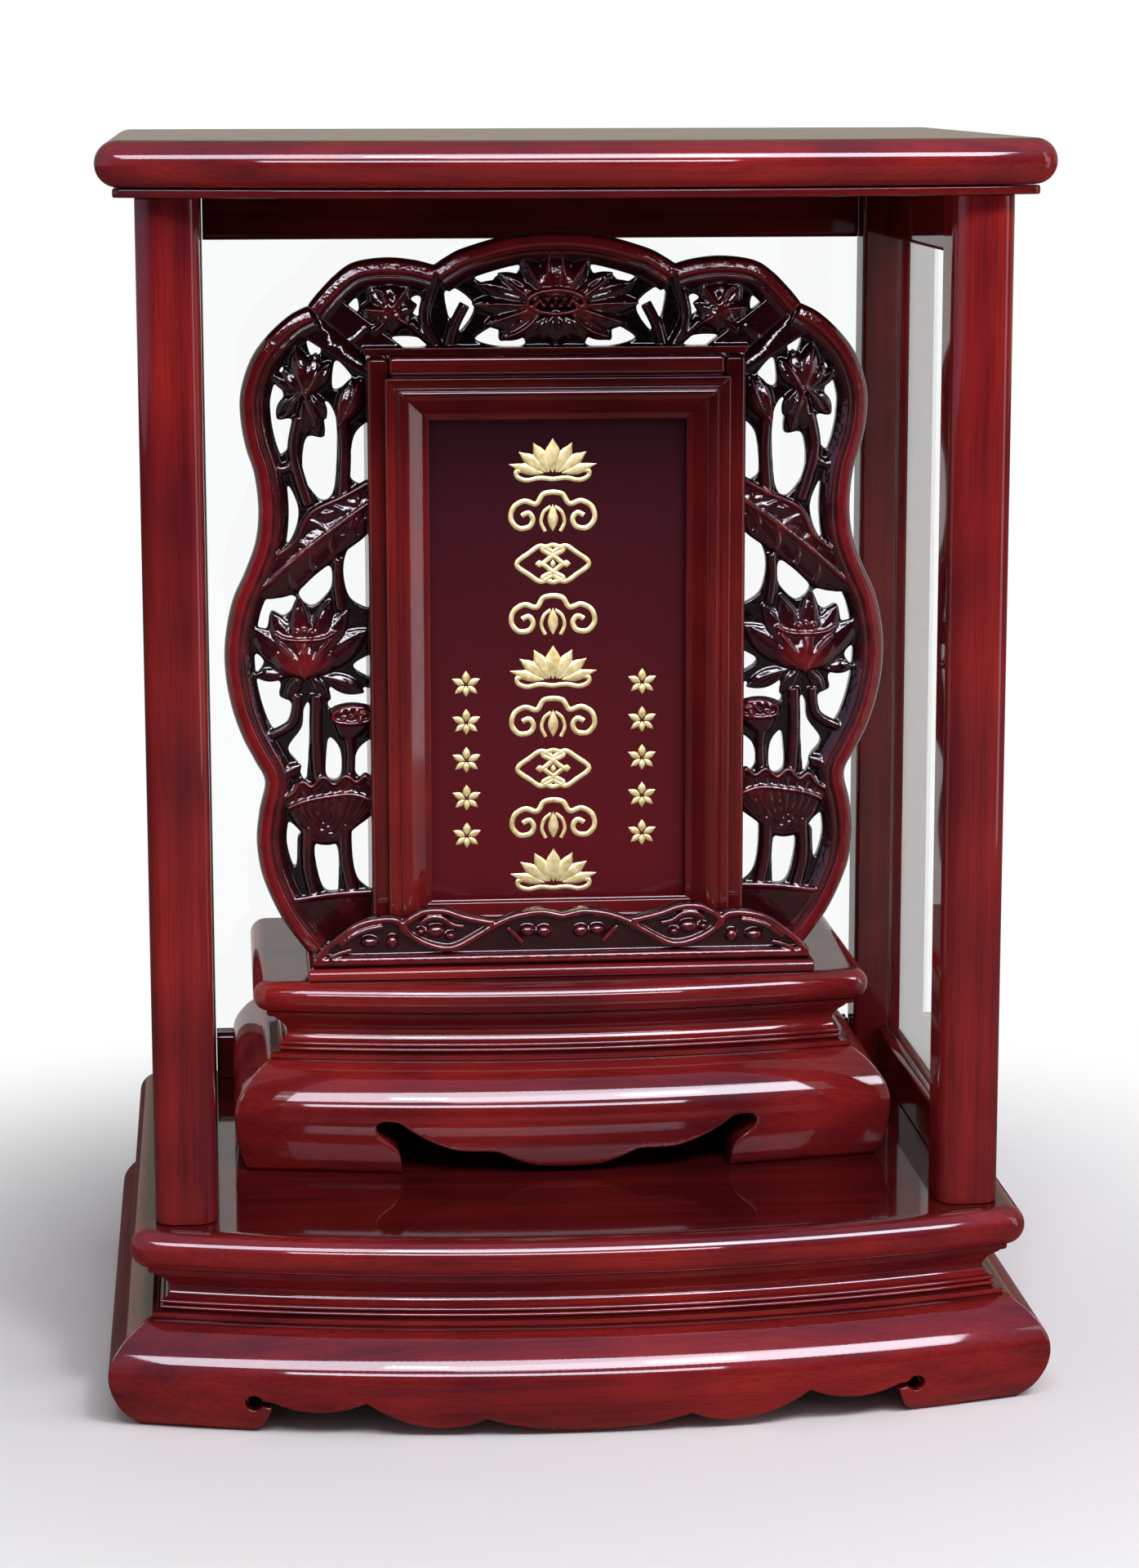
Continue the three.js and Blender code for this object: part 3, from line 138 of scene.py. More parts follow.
def redLacquer(name, grain, shade=1.0):
    material, tree, shader, place = newMaterial(name, coatOver(lacquer["coat"], 0.05))
    streaks = []
    for width, stretch, detail in ((lacquer["streak"], lacquer["stretch"], 4.0),
            (lacquer["pore"], lacquer["poreStretch"], 2.0)):
        scale = [stretch if axis == grain else 1.0 for axis in "XYZ"]
        drawn = addNode(tree, "ShaderNodeMapping", {"Vector": place, "Scale": scale})
        noise = addNode(tree, "ShaderNodeTexNoise", {"Vector": drawn, "Scale": 1 / (width * mm),
            "Detail": detail, "Roughness": 0.5})
        streaks.append(noise.outputs["Fac"])
    cloud = addNode(tree, "ShaderNodeTexNoise", {"Vector": place, "Detail": 1.0,
        "Scale": 1 / (lacquer["cloud"] * mm)})
    stain = addNode(tree, "ShaderNodeMath", {0: streaks[0], 1: cloud}, operation="ADD")
    mean = addNode(tree, "ShaderNodeMath", {0: stain, 1: 0.5}, operation="MULTIPLY")
    ramp = addNode(tree, "ShaderNodeValToRGB", {"Fac": mean})
    setStops(ramp, lacquer["stain"])
    pores = addNode(tree, "ShaderNodeMapRange", {"Value": streaks[1], "From Min": 0.38,
        "From Max": 0.52, "To Min": lacquer["poreDark"] * shade, "To Max": shade})
    # Painted shade and reflection: faces that look straight up are painted darker.
    normal = addNode(tree, "ShaderNodeNewGeometry").outputs["Normal"]
    upward = addNode(tree, "ShaderNodeSeparateXYZ", {"Vector": normal}).outputs["Z"]
    flat = addNode(tree, "ShaderNodeMapRange", {"Value": upward, "From Min": 0.9,
        "From Max": 0.995, "To Min": 1.0, "To Max": lacquer["paintedTopShade"]})
    depth = addNode(tree, "ShaderNodeMath", {0: pores, 1: flat}, operation="MULTIPLY")
    tint = addNode(tree, "ShaderNodeMix", data_type="RGBA", blend_type="MULTIPLY",
        inputs={"Factor": 1.0, "A": ramp, "B": depth})
    wave = addNode(tree, "ShaderNodeTexNoise", {"Vector": place, "Detail": 1.0,
        "Scale": 1 / (lacquer["wave"] * mm)})
    bump = addNode(tree, "ShaderNodeBump", {"Height": wave.outputs["Fac"], "Strength": 0.1,
        "Distance": lacquer["waveDeep"] * mm})
    fillInputs(tree, shader, {"Base Color": tint, "Coat Normal": bump})
    return material


# The recessed board: a plum stain with grain, painted from a richer red at the bottom up to a dark
# plum at the top, the darker top being painted shade under the canopy.
boardStainAndShade = {"stops": [(0.05, "#5C1019"), (1.0, "#35141C")], "low": 200, "high": 425,
    "grain": 1.6, "stretch": 0.04, "uneven": 0.22, "grainDeep": 0.05}


def boardLacquer(name):
    material, tree, shader, place = newMaterial(name, coatOver(0.25, 0.12))
    # Painted shade: the colour darkens towards the top.
    up = addNode(tree, "ShaderNodeSeparateXYZ", {"Vector": place}).outputs["Z"]
    rise = addNode(tree, "ShaderNodeMapRange", {"Value": up, "From Min": boardStainAndShade["low"] * mm,
        "From Max": boardStainAndShade["high"] * mm})
    drawn = addNode(tree, "ShaderNodeMapping", {"Vector": place,
        "Scale": (1.0, 1.0, boardStainAndShade["stretch"])})
    grain = addNode(tree, "ShaderNodeTexNoise", {"Vector": drawn, "Detail": 3.0,
        "Scale": 1 / (boardStainAndShade["grain"] * mm)}).outputs["Fac"]
    mixed = addNode(tree, "ShaderNodeMath", {0: grain, 1: boardStainAndShade["uneven"], 2: rise},
        operation="MULTIPLY_ADD")
    ramp = addNode(tree, "ShaderNodeValToRGB", {"Fac": mixed})
    setStops(ramp, boardStainAndShade["stops"])
    bump = addNode(tree, "ShaderNodeBump", {"Height": grain, "Strength": 0.15,
        "Distance": boardStainAndShade["grainDeep"] * mm})
    fillInputs(tree, shader, {"Base Color": ramp, "Normal": bump})
    return material


# The same lacquer over carving: it darkens down to the ground, partly stain that pools in the
# hollows and partly painted shade there, and the back is plain again.
carvedStainAndShade = {"stops": [(0.25, "#6E1417"), (0.6, "#310A0F"), (1.0, "#12060A")], "turns": 1.8,
    "patch": 9, "uneven": 0.5, "chip": 2.4, "chipDeep": 0.3}


def carvedLacquer(name, frontY, backY):
    material, tree, shader, place = newMaterial(name, coatOver(0.75, 0.07))
    depth = addNode(tree, "ShaderNodeSeparateXYZ", {"Vector": place}).outputs["Y"]
    # Stain and painted shade: the deeper a point lies, the darker its colour.
    through = addNode(tree, "ShaderNodeMapRange", {"Value": depth, "From Min": frontY * mm,
        "From Max": backY * mm, "To Min": 0.0, "To Max": carvedStainAndShade["turns"]})
    hollow = addNode(tree, "ShaderNodeMath", {0: through, 1: 1.0}, operation="PINGPONG")
    patch = addNode(tree, "ShaderNodeTexNoise", {"Vector": place, "Detail": 3.0,
        "Scale": 1 / (carvedStainAndShade["patch"] * mm)}).outputs["Fac"]
    mixed = addNode(tree, "ShaderNodeMath", {0: patch, 1: carvedStainAndShade["uneven"], 2: hollow},
        operation="MULTIPLY_ADD")
    ramp = addNode(tree, "ShaderNodeValToRGB", {"Fac": mixed})
    setStops(ramp, carvedStainAndShade["stops"])
    chips = addNode(tree, "ShaderNodeTexNoise", {"Vector": place, "Detail": 2.0,
        "Scale": 1 / (carvedStainAndShade["chip"] * mm)}).outputs["Fac"]
    bump = addNode(tree, "ShaderNodeBump", {"Height": chips, "Strength": 0.5,
        "Distance": carvedStainAndShade["chipDeep"] * mm})
    fillInputs(tree, shader, {"Base Color": ramp, "Normal": bump, "Coat Normal": bump})
    return material


# Bare planed timber, with rings drawn out along Z, for glue blocks and name slips.
def plainWood(name, light, dark, ringWidth):
    material, tree, shader, place = newMaterial(name, {"Roughness": 0.62, "IOR": 1.5})
    drawn = addNode(tree, "ShaderNodeMapping", {"Vector": place, "Scale": (1.0, 1.0, 0.06)})
    rings = addNode(tree, "ShaderNodeTexWave", {"Vector": drawn, "Scale": 1 / (ringWidth * mm),
        "Distortion": 5.0, "Detail": 3.0}).outputs["Fac"]
    ramp = addNode(tree, "ShaderNodeValToRGB", {"Fac": rings})
    setStops(ramp, [(0.0, dark), (1.0, light)])
    bump = addNode(tree, "ShaderNodeBump", {"Height": rings, "Strength": 0.3, "Distance": 0.1 * mm})
    fillInputs(tree, shader, {"Base Color": ramp, "Normal": bump})
    return material


# Clear float glass, faintly uneven as old cabinet panes are.
def floatGlass(name):
    material, tree, shader, place = newMaterial(name, {"Roughness": 0.0, "IOR": 1.38,
        "Transmission Weight": 1.0, "Base Color": linear("#FCFEFD")})
    wave = addNode(tree, "ShaderNodeTexNoise", {"Vector": place, "Detail": 0.0,
        "Scale": 1 / (160 * mm)})
    bump = addNode(tree, "ShaderNodeBump", {"Height": wave, "Strength": 0.04, "Distance": 0.2 * mm})
    fillInputs(tree, shader, {"Normal": bump})
    return material


# Gold leaf laid on lacquer: a soft metal with a mottled, slightly rubbed surface.
def goldLeaf(name):
    material, tree, shader, place = newMaterial(name, {"Metallic": 0.55, "Roughness": 0.42})
    mottle = addNode(tree, "ShaderNodeTexNoise", {"Vector": place, "Scale": 1 / (3 * mm),
        "Detail": 4.0}).outputs["Fac"]
    ramp = addNode(tree, "ShaderNodeValToRGB", {"Fac": mottle})
    setStops(ramp, [(0.3, "#B09C60"), (0.65, "#D6C994")])
    bump = addNode(tree, "ShaderNodeBump", {"Height": mottle, "Strength": 0.3,
        "Distance": 0.08 * mm})
    fillInputs(tree, shader, {"Base Color": ramp, "Normal": bump})
    return material


lacquerX = redLacquer("redLacquerAcross", "X")
lacquerY = redLacquer("redLacquerBack", "Y")
lacquerZ = redLacquer("redLacquerUpright", "Z")
# Copies painted darker: painted shade for the rear and inner members, the box and the frame.
shadedCopyX = redLacquer("paintedShadeLacquerAcross", "X", lacquer["paintedShadeDeep"])
shadedCopyY = redLacquer("paintedShadeLacquerBack", "Y", lacquer["paintedShadeDeep"])
shadedCopyZ = redLacquer("paintedShadeLacquerUpright", "Z", lacquer["paintedShadeDeep"])
frameShadedCopyX = redLacquer("frameShadedLacquerAcross", "X", lacquer["paintedShadeFrame"])
frameShadedCopyZ = redLacquer("frameShadedLacquerUpright", "Z", lacquer["paintedShadeFrame"])
blockWood = plainWood("bareBlockWood", "#9A6A46", "#6E4529", 3.0)
slipWood = plainWood("planedSlipWood", "#CDA672", "#A97E4D", 2.2)
paneGlass = floatGlass("floatGlass")
boardPlum = boardLacquer("boardLacquer")
giltLeaf = goldLeaf("goldLeaf")
print("materials ready")


# Small geometry helpers, all in millimetres.
def boxOf(node):
    low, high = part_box(node)
    return low / mm, high / mm


def spread(start, end, steps):
    return [start + (end - start) * i / steps for i in range(steps + 1)]


def mix(a, b, share):
    return a + (b - a) * share


# Points round a centre, from one angle to another; wide and high are its two radii.
def arc(x, y, wide, high, start, end, steps):
    return [(x + wide * math.cos(a), y + high * math.sin(a)) for a in spread(start, end, steps)]


# A smooth curve through the points, open or closed, with so many steps between each two.
def curveThrough(points, steps, closed=False):
    points = [Vector(p) for p in points]
    count = len(points)
    result = []
    for i in range(count if closed else count - 1):
        near = [(i + k) % count if closed else min(max(i + k, 0), count - 1) for k in (-1, 0, 1, 2)]
        p0, p1, p2, p3 = (points[k] for k in near)
        for j in range(steps):
            t = j / steps
            result.append(0.5 * (2 * p1 + (p2 - p0) * t + (2 * p0 - 5 * p1 + 4 * p2 - p3) * t ** 2
                + (3 * p1 - p0 - 3 * p2 + p3) * t ** 3))
    return result if closed else result + [points[-1]]


# A piece from points in millimetres, welded, with its faces turned outwards.
def makePiece(name, points, faces, material, sharpAngle=40):
    mesh = bpy.data.meshes.new(name)
    mesh.from_pydata([tuple(c * mm for c in p) for p in points], [], faces)
    body = bmesh.new()
    body.from_mesh(mesh)
    bmesh.ops.remove_doubles(body, verts=body.verts, dist=0.002 * mm)
    bmesh.ops.recalc_face_normals(body, faces=body.faces)
    for face in body.faces:
        face.smooth = True
    limit = math.radians(sharpAngle)
    for edge in body.edges:
        edge.smooth = edge.is_manifold and edge.calc_face_angle(0) < limit
    body.to_mesh(mesh)
    body.free()
    piece = bpy.data.objects.new(name, mesh)
    bpy.context.scene.collection.objects.link(piece)
    mesh.materials.append(material)
    return piece


# Turns a piece's modifiers into its mesh.
def settle(piece):
    graph = bpy.context.evaluated_depsgraph_get()
    mesh = bpy.data.meshes.new_from_object(piece.evaluated_get(graph))
    piece.modifiers.clear()
    piece.data = mesh


# Rounds the edges that are sharper than the angle.
def easeEdges(piece, width, angle):
    bevel = piece.modifiers.new("ease", "BEVEL")
    bevel.width = width * mm
    bevel.segments = 2
    bevel.limit_method = "ANGLE"
    bevel.angle_limit = math.radians(angle)
    bevel.use_clamp_overlap = False
    piece.modifiers.new("shade", "WEIGHTED_NORMAL")


def hand(piece, body, slot, *nodes):
    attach(piece, body)
    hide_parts(*nodes)


# A store is a list of points and a list of faces, to which bodies are added.
def addTo(store, points, faces):
    base = len(store[0])
    store[0].extend(points)
    store[1].extend(tuple(i + base for i in face) for face in faces)


# Skins a row of rings of equal length and closes both ends.
def skin(rings):
    count = len(rings[0])
    faces = []
    for i in range(len(rings) - 1):
        for j in range(count):
            a, b = i * count + j, i * count + (j + 1) % count
            faces.append((a, b, b + count, a + count))
    faces.append(tuple(reversed(range(count))))
    last = (len(rings) - 1) * count
    faces.append(tuple(range(last, last + count)))
    return [tuple(p) for ring in rings for p in ring], faces


# The bow-fronted plans. A member's front follows the plan's arc at its own offset.
fine = {"bow": 96, "corner": 14, "nose": 20, "curve": 6, "bead": 10}  # steps in a curve
boards = {
    "canopy": {"node": "canopy_board", "bow": 29, "corner": 11.5, "guard": 1.2},
    "base": {"node": "base_board", "bow": 29, "corner": 10.5, "guard": 1.2},
    "stand": {"node": "stand_board", "bow": 16, "corner": 8, "guard": 1.0},
}
for plan in boards.values():
    low, high = boxOf(plan["node"])
    plan["half"], plan["front"], plan["rear"] = high.x, low.y, high.y
    plan["low"], plan["high"] = low.z, high.z
    plan["radius"] = (plan["half"] ** 2 + plan["bow"] ** 2) / (2 * plan["bow"])


def bowY(plan, offset, x):
    return plan["front"] + plan["radius"] - math.sqrt((plan["radius"] + offset) ** 2 - x ** 2)


def planOutline(plan, offset):
    corner = plan["corner"] + offset
    cornerX = plan["half"] + offset - corner
    centreY = plan["front"] + plan["radius"]
    reach = plan["radius"] + offset
    cornerY = centreY - math.sqrt((reach - corner) ** 2 - cornerX ** 2)
    meet = math.atan2(cornerY - centreY, cornerX)
    right = arc(0, centreY, reach, reach, -math.pi / 2, meet, fine["bow"] // 2)
    right += arc(cornerX, cornerY, corner, corner, meet, 0, fine["corner"])[1:]
    rearY = plan["rear"] + offset - corner
    right += arc(cornerX, rearY, corner, corner, 0, math.pi / 2, fine["corner"])
    return right + [(-x, y) for x, y in reversed(right[1:])]


# A board whose whole edge is one half round.
def bullnoseBoard(plan):
    nose = (plan["high"] - plan["low"]) / 2
    inset = -nose - plan["guard"]
    rows = [(nose * (math.cos(a) - 1), plan["low"] + nose * (1 + math.sin(a)))
        for a in spread(-math.pi / 2, math.pi / 2, fine["nose"])]
    rows = [(inset, plan["low"]), *rows, (inset, plan["high"])]
    return skin([[(x, y, z) for x, y in planOutline(plan, offset)] for offset, z in rows])


for name, body in (("canopy", "case"), ("base", "case"), ("stand", "tablet")):
    node = boards[name]["node"]
    board = makePiece(f"{node}_finish", *bullnoseBoard(boards[name]), lacquerX)
    hand(board, body, "red_lacquer", node)
print("boards made")


# Mitred members round a plan. The seam is what shows of a glued mitre under lacquer.
seam = 0.05
waists = {
    "base": {"high": 22, "inner": -28, "lip": -7.7, "neck": -10.5, "cove": -17, "beadOut": -12.4,
        "foot": -9},
    "stand": {"high": 21.5, "inner": -26, "lip": -6, "neck": -9.5, "cove": -15, "beadOut": -11.5,
        "foot": -7.5},
}
# Shares of a waist's height; the hollow's points are also shares of the way in to the cove, and
# those under it of the way out to the beads.
waistShares = {"lipFoot": 0.95, "neck": 0.87, "beadIn": 0.52, "beads": (0.27, 0.16), "bead": 0.052,
    "fillet": 0.095, "hollow": [(0, 0.84), (0.62, 0.7), (0.95, 0.56), (1, 0.46)],
    "under": [(0.5, 0.37), (1, 0.325)]}


def waistSection(waist):
    high, shares = waist["high"], waistShares
    inner, lip, neck, cove = (waist[key] for key in ("inner", "lip", "neck", "cove"))
    beadIn = mix(cove, waist["beadOut"], shares["beadIn"])
    points = [(inner, high), (lip, high), (lip, high * shares["lipFoot"])]
    points += arc(neck, high * shares["lipFoot"], lip - neck,
        high * (shares["neck"] - shares["lipFoot"]), 0, math.pi / 2, fine["curve"])[1:]
    hollow = [(mix(neck, cove, inward), high * z) for inward, z in shares["hollow"]]
    hollow += [(mix(cove, beadIn, outward), high * z) for outward, z in shares["under"]]
    points += [tuple(p) for p in curveThrough(hollow, fine["curve"])]
    for middle in shares["beads"]:
        points += arc(beadIn, high * middle, waist["beadOut"] - beadIn, high * shares["bead"],
            math.pi / 2, -math.pi / 2, fine["bead"])
    return points + [(waist["foot"], high * shares["fillet"]), (waist["foot"], 0), (inner, 0)]


def memberRings(plan, section, bottom, side):
    half = plan["half"]
    if side == "front":
        rows = [[(share * (half - seam + o), o, z) for o, z in section]
            for share in spread(-1, 1, fine["bow"])]
        return [[(x, bowY(plan, o, x), bottom + z) for x, o, z in row] for row in rows]
    if side == "rear":
        return [[(sign * (half - seam + o), plan["rear"] + o, bottom + z) for o, z in section]
            for sign in (-1, 1)]
    sign = -1 if side == "left" else 1
    return [[(sign * (half + o), bowY(plan, o, half + o) + seam, bottom + z) for o, z in section],
        [(sign * (half + o), plan["rear"] + o - seam, bottom + z) for o, z in section]]


for name, body in (("base", "case"), ("stand", "tablet")):
    section = waistSection(waists[name])
    for side in ("front", "left", "right", "rear"):
        node = f"{name}_waist_{side}"
        material = lacquerX if side in ("front", "rear") else lacquerY
        rings = memberRings(boards[name], section, boxOf(node)[0].z, side)
        hand(makePiece(f"{node}_finish", *skin(rings), material), body, "red_lacquer", node)
print("waists made")


# The aprons: a swelling face, cut along the floor by scrolls and lobes. The hook and the stand's
# scroll are drawn from the foot's inner edge, across and up.
aprons = {
    "base": {"body": "case", "inner": -16, "top": -7, "swell": 9.8, "toe": -2.5, "frontGap": 51.5,
        "sideGap": 49, "hold": 5, "hook": [(0, 0), (-1.875, 1.62), (-4.5, 5.13), (-7.5, 13.5)],
        "curl": 3.7, "curlUp": 15.6, "curlTurn": 0.88, "slot": 1.2},
    "stand": {"body": "tablet", "inner": -15, "top": -7, "swell": 9, "toe": 3.5, "frontGap": 64.3,
        "sideGap": 48, "hold": 13, "shoulder": (1, 25.1),
        "scroll": [(8, 24.7), (10.4, 23.5), (11, 21.5), (10.2, 19.1), (7.6, 16.5), (3.3, 13.032),
            (0.66, 9.05), (0, 4.7), (-0.4, 0)]},
}
# Shares of an apron's height, and of its gap's half width.
apronShares = {
    "top": [(0.54, 1), (0.68, 0.9), (0.83, 0.6), (0.93, 0.28), (1, 0)],
    "toe": [(0, 0), (0.13, 0.48), (0.27, 0.78), (0.4, 0.95)],
    "baseCusps": [(0.667, 0.379), (0.309, 0.209)],
    "baseDips": [(0.81, 0.156), (0.465, -0.09), (0, -0.143)],
    "standEdge": [(0, 0.06), (0.19, 0.076), (0.339, 0.152), (0.43, 0.214), (0.597, 0.222),
        (0.696, 0.243), (0.821, 0.317), (0.932, 0.41), (0.985, 0.47)],
    "rearUp": 0.42,
}
apronGrid = {"along": 3.2, "up": 1.3, "margin": 0.7, "ends": 24, "top": 60, "face": 12, "lobe": 14,
    "curl": 22, "hook": 5, "edge": 6, "shoulder": 8, "rear": 6, "rearSoft": 8, "ease": 0.7,
    "easeAngle": 48}


# The offset of the apron's face at a height, as a table to look up.
def apronFace(apron, high):
    knots = [(z * high, mix(apron[end], apron["swell"], share))
        for end in ("toe", "top") for z, share in apronShares[end]]
    line = curveThrough(knots, apronGrid["face"])
    return [p.x for p in line], [p.y for p in line]


def quadratic(a, b, c, steps):
    a, b, c = Vector(a), Vector(b), Vector(c)
    return [tuple(a * (1 - t) ** 2 + b * 2 * t * (1 - t) + c * t * t) for t in spread(0, 1, steps)]


# The lower edge of a base apron on the right, from the scroll in to the middle.
def baseEdge(apron, high, half):
    hook = curveThrough([(half + x, z) for x, z in apron["hook"]], apronGrid["hook"])
    turn = math.pi * apron["curlTurn"]
    curl = arc(half, apron["curlUp"], apron["curl"], apron["curl"], -turn, turn, apronGrid["curl"])
    cusps = [(half * x, high * z) for x, z in apronShares["baseCusps"]]
    dips = [(half * x, high * z) for x, z in apronShares["baseDips"]]
    start = (hook[-1].x - apron["slot"] / 2, apron["curlUp"] + apron["slot"] / 2)
    steps = apronGrid["lobe"]
    lobes = quadratic(start, dips[0], cusps[0], steps)
    lobes += quadratic(cusps[0], dips[1], cusps[1], steps)[1:]
    centre = quadratic(cusps[1], dips[2], (-cusps[1][0], cusps[1][1]), 2 * steps)[1:steps + 1]
    return [tuple(p) for p in hook] + curl + lobes + centre


# The same of a stand apron, whose foot has an open scroll.
def standEdge(apron, high, half):
    lower = [(half * x, high * z) for x, z in apronShares["standEdge"]]
    scroll = [(half + x, z) for x, z in apron["scroll"]]
    shoulder = (half + apron["shoulder"][0], apron["shoulder"][1])
    edge = [tuple(p) for p in curveThrough(lower, apronGrid["edge"])]
    edge += quadratic(lower[-1], shoulder, scroll[0], apronGrid["shoulder"])[1:]
    edge += [tuple(p) for p in curveThrough(scroll, apronGrid["hook"])[1:]]
    return edge[::-1]


def plainEdge(high, half, soft):
    return [(half, 0)] + arc(half - soft, high - soft, soft, soft, 0, math.pi / 2,
        apronGrid["rear"])


# The region of an apron seen square on, as a loop of (along, up), from the right foot's floor
# edge round the top.
def apronLoop(edge, half, high):
    left = [(-x, z) for x, z in reversed(edge)]
    lower = edge + (left[1:] if abs(edge[-1][0]) < 1e-6 else left)
    ends = [(-half, 0)] + [(-half, z) for z in spread(0, high, apronGrid["ends"])[1:]]
    top = [(x, high) for x in spread(-half, half, apronGrid["top"])[1:]]
    return [(half, 0)] + lower + ends + top + [(half, z) for _, z in reversed(ends[1:-1])]


# How far a point is from the nearest of the edges.
def edgeGap(start, span, point):
    share = np.clip(((point - start) * span).sum(1) / (span ** 2).sum(1), 0, 1)
    return np.sqrt((((start + span * share[:, None]) - point) ** 2).sum(1).min())


# Fills a loop with holes in it: triangles over its own points and a staggered grid of others, each
# at least the margin from an edge.
def fillLoop(loop, holes, along, up, margin):
    rings = [loop, *holes]
    flat = np.array([p for ring in rings for p in ring])
    edges, first = [], 0
    for ring in rings:
        edges += [(first + i, first + (i + 1) % len(ring)) for i in range(len(ring))]
        first += len(ring)
    start, end = flat[[e[0] for e in edges]], flat[[e[1] for e in edges]]
    span = end - start

    def within(x, z):
        crossing = (start[:, 1] > z) != (end[:, 1] > z)
        share = (z - start[crossing, 1]) / span[crossing, 1]
        return (start[crossing, 0] + share * span[crossing, 0] > x).sum() % 2

    low, high = flat.min(0), flat.max(0)
    grid = [np.array((x + (along / 2 if row % 2 else 0), z))
        for row, z in enumerate(np.arange(low[1] + up / 2, high[1], up))
        for x in np.arange(low[0] + along / 2, high[0], along)]
    keep = [p for p in grid if edgeGap(start, span, p) > margin and within(*p)]
    points = [Vector(p) for p in [*flat, *keep]]
    found = delaunay_2d_cdt(points, edges, [], 2, 1e-6)
    vertices, inside = found[0], []
    for face in found[2]:
        middle = sum((vertices[i] for i in face), Vector((0, 0))) / len(face)
        if within(middle.x, middle.y):
            inside.append(tuple(face))
    return [tuple(v) for v in vertices], inside


# A closed body from a flat filled region and two maps of it, one for each face.
def twoFaced(points, triangles, frontOf, backOf):
    count = len(points)
    faces = triangles + [tuple(i + count for i in reversed(f)) for f in triangles]
    seen = {}
    for f in triangles:
        for edge in zip(f, f[1:] + f[:1]):
            key = tuple(sorted(edge))
            seen[key] = None if key in seen else edge
    faces += [(e[1], e[0], e[0] + count, e[1] + count) for e in seen.values() if e]
    return [frontOf(*p) for p in points] + [backOf(*p) for p in points], faces


def apronPiece(name, side):
    plan, apron = boards[name], aprons[name]
    node = f"{name}_apron_{side}"
    low, high = boxOf(node)
    tall = high.z - low.z
    heights, offsets = apronFace(apron, tall)
    endwise = side in ("left", "right")
    cornerY = bowY(plan, 0, plan["half"])
    middle = (cornerY + plan["rear"]) / 2 if endwise else 0
    halfPlan = (plan["rear"] - cornerY) / 2 if endwise else plan["half"]
    gap = halfPlan - apron["sideGap" if endwise else "frontGap"]
    if side == "rear":
        edge = plainEdge(tall * apronShares["rearUp"], gap, apronGrid["rearSoft"])
    else:
        edge = (baseEdge if name == "base" else standEdge)(apron, tall, gap)
    reach = halfPlan + apron["swell"]
    grid = [apronGrid[key] for key in ("along", "up", "margin")]
    region = fillLoop(apronLoop(edge, reach, tall), (), *grid)
    hold = gap + apron["hold"]  # the feet are stretched to the mitres from here out

    def bodyPoint(along, z, offset):
        end = halfPlan + offset - seam
        if endwise and along < 0:
            end = middle - bowY(plan, offset, plan["half"] + offset) - seam
        x = abs(along)
        if x >= hold:
            x = hold + (x - hold) * (end - hold) / (reach - hold)
        x = math.copysign(x, along)
        if side == "front":
            return (x, bowY(plan, offset, x), low.z + z)
        if side == "rear":
            return (x, plan["rear"] + offset, low.z + z)
        sign = -1 if side == "left" else 1
        return (sign * (plan["half"] + offset), middle + x, low.z + z)

    body = twoFaced(*region,
        lambda along, z: bodyPoint(along, z, float(np.interp(z, heights, offsets))),
        lambda along, z: bodyPoint(along, z, apron["inner"]))
    piece = makePiece(f"{node}_finish", *body, lacquerY if endwise else lacquerX)
    easeEdges(piece, apronGrid["ease"], apronGrid["easeAngle"])
    settle(piece)
    hand(piece, apron["body"], "red_lacquer", node)


for name in ("base", "stand"):
    for side in ("front", "left", "right", "rear"):
        apronPiece(name, side)
print("aprons made")


# The tablet's frame: a raised moulding with a bead line and a bevel down to the board. The shares
# are of its width, inwards, and of its depth.
frameMoulding = {
    "topUp": 2.5, "ease": 0.25, "sharp": 25,
    "shares": [(0, 1), (0, 0.3), (0.015, 0.18), (0.05, 0.1), (0.2, 0.1), (0.24, 0.2), (0.27, 0.2),
        (0.31, 0.06), (0.38, 0), (0.46, 0), (0.53, 0.05), (0.57, 0.16), (0.6, 0.2), (0.84, 0.74),
        (0.87, 0.8), (0.97, 0.83), (1, 0.88), (1, 1)],
}


def frameSides():
    outer, inner = boxOf("frame_left")
    low, openLow = (corner.z for corner in boxOf("frame_bottom"))
    top = boxOf("frame_top")[1].z + frameMoulding["topUp"]
    half, wide = -outer.x, inner.x - outer.x
    section = [(wide * inward, mix(outer.y, inner.y, deep))
        for inward, deep in frameMoulding["shares"]]
    lowRatio = (openLow - low) / wide

    def ring(sx, sz, slipX, slipZ):
        return [(sx * (half - i - slipX), y,
            top - i - slipZ if sz > 0 else low + i * lowRatio + slipZ) for i, y in section]

    # Painted shade: the left and bottom members are painted a little darker, the right and top
    # darker still, as if lit from the left.
    sides = {
        "left": (frameShadedCopyZ, [ring(-1, -1, 0, seam), ring(-1, 1, 0, seam)]),
        "right": (shadedCopyZ, [ring(1, -1, 0, seam), ring(1, 1, 0, seam)]),
        "top": (shadedCopyX, [ring(-1, 1, seam, 0), ring(1, 1, seam, 0)]),
        "bottom": (frameShadedCopyX, [ring(-1, -1, seam, 0), ring(1, -1, seam, 0)]),
    }
    for side, (material, rings) in sides.items():
        piece = makePiece(f"frame_{side}_finish", *skin(rings), material, frameMoulding["sharp"])
        easeEdges(piece, frameMoulding["ease"], frameMoulding["sharp"])
        settle(piece)
        hand(piece, "tablet", "red_lacquer", f"frame_{side}")


frameSides()
print("frame made")


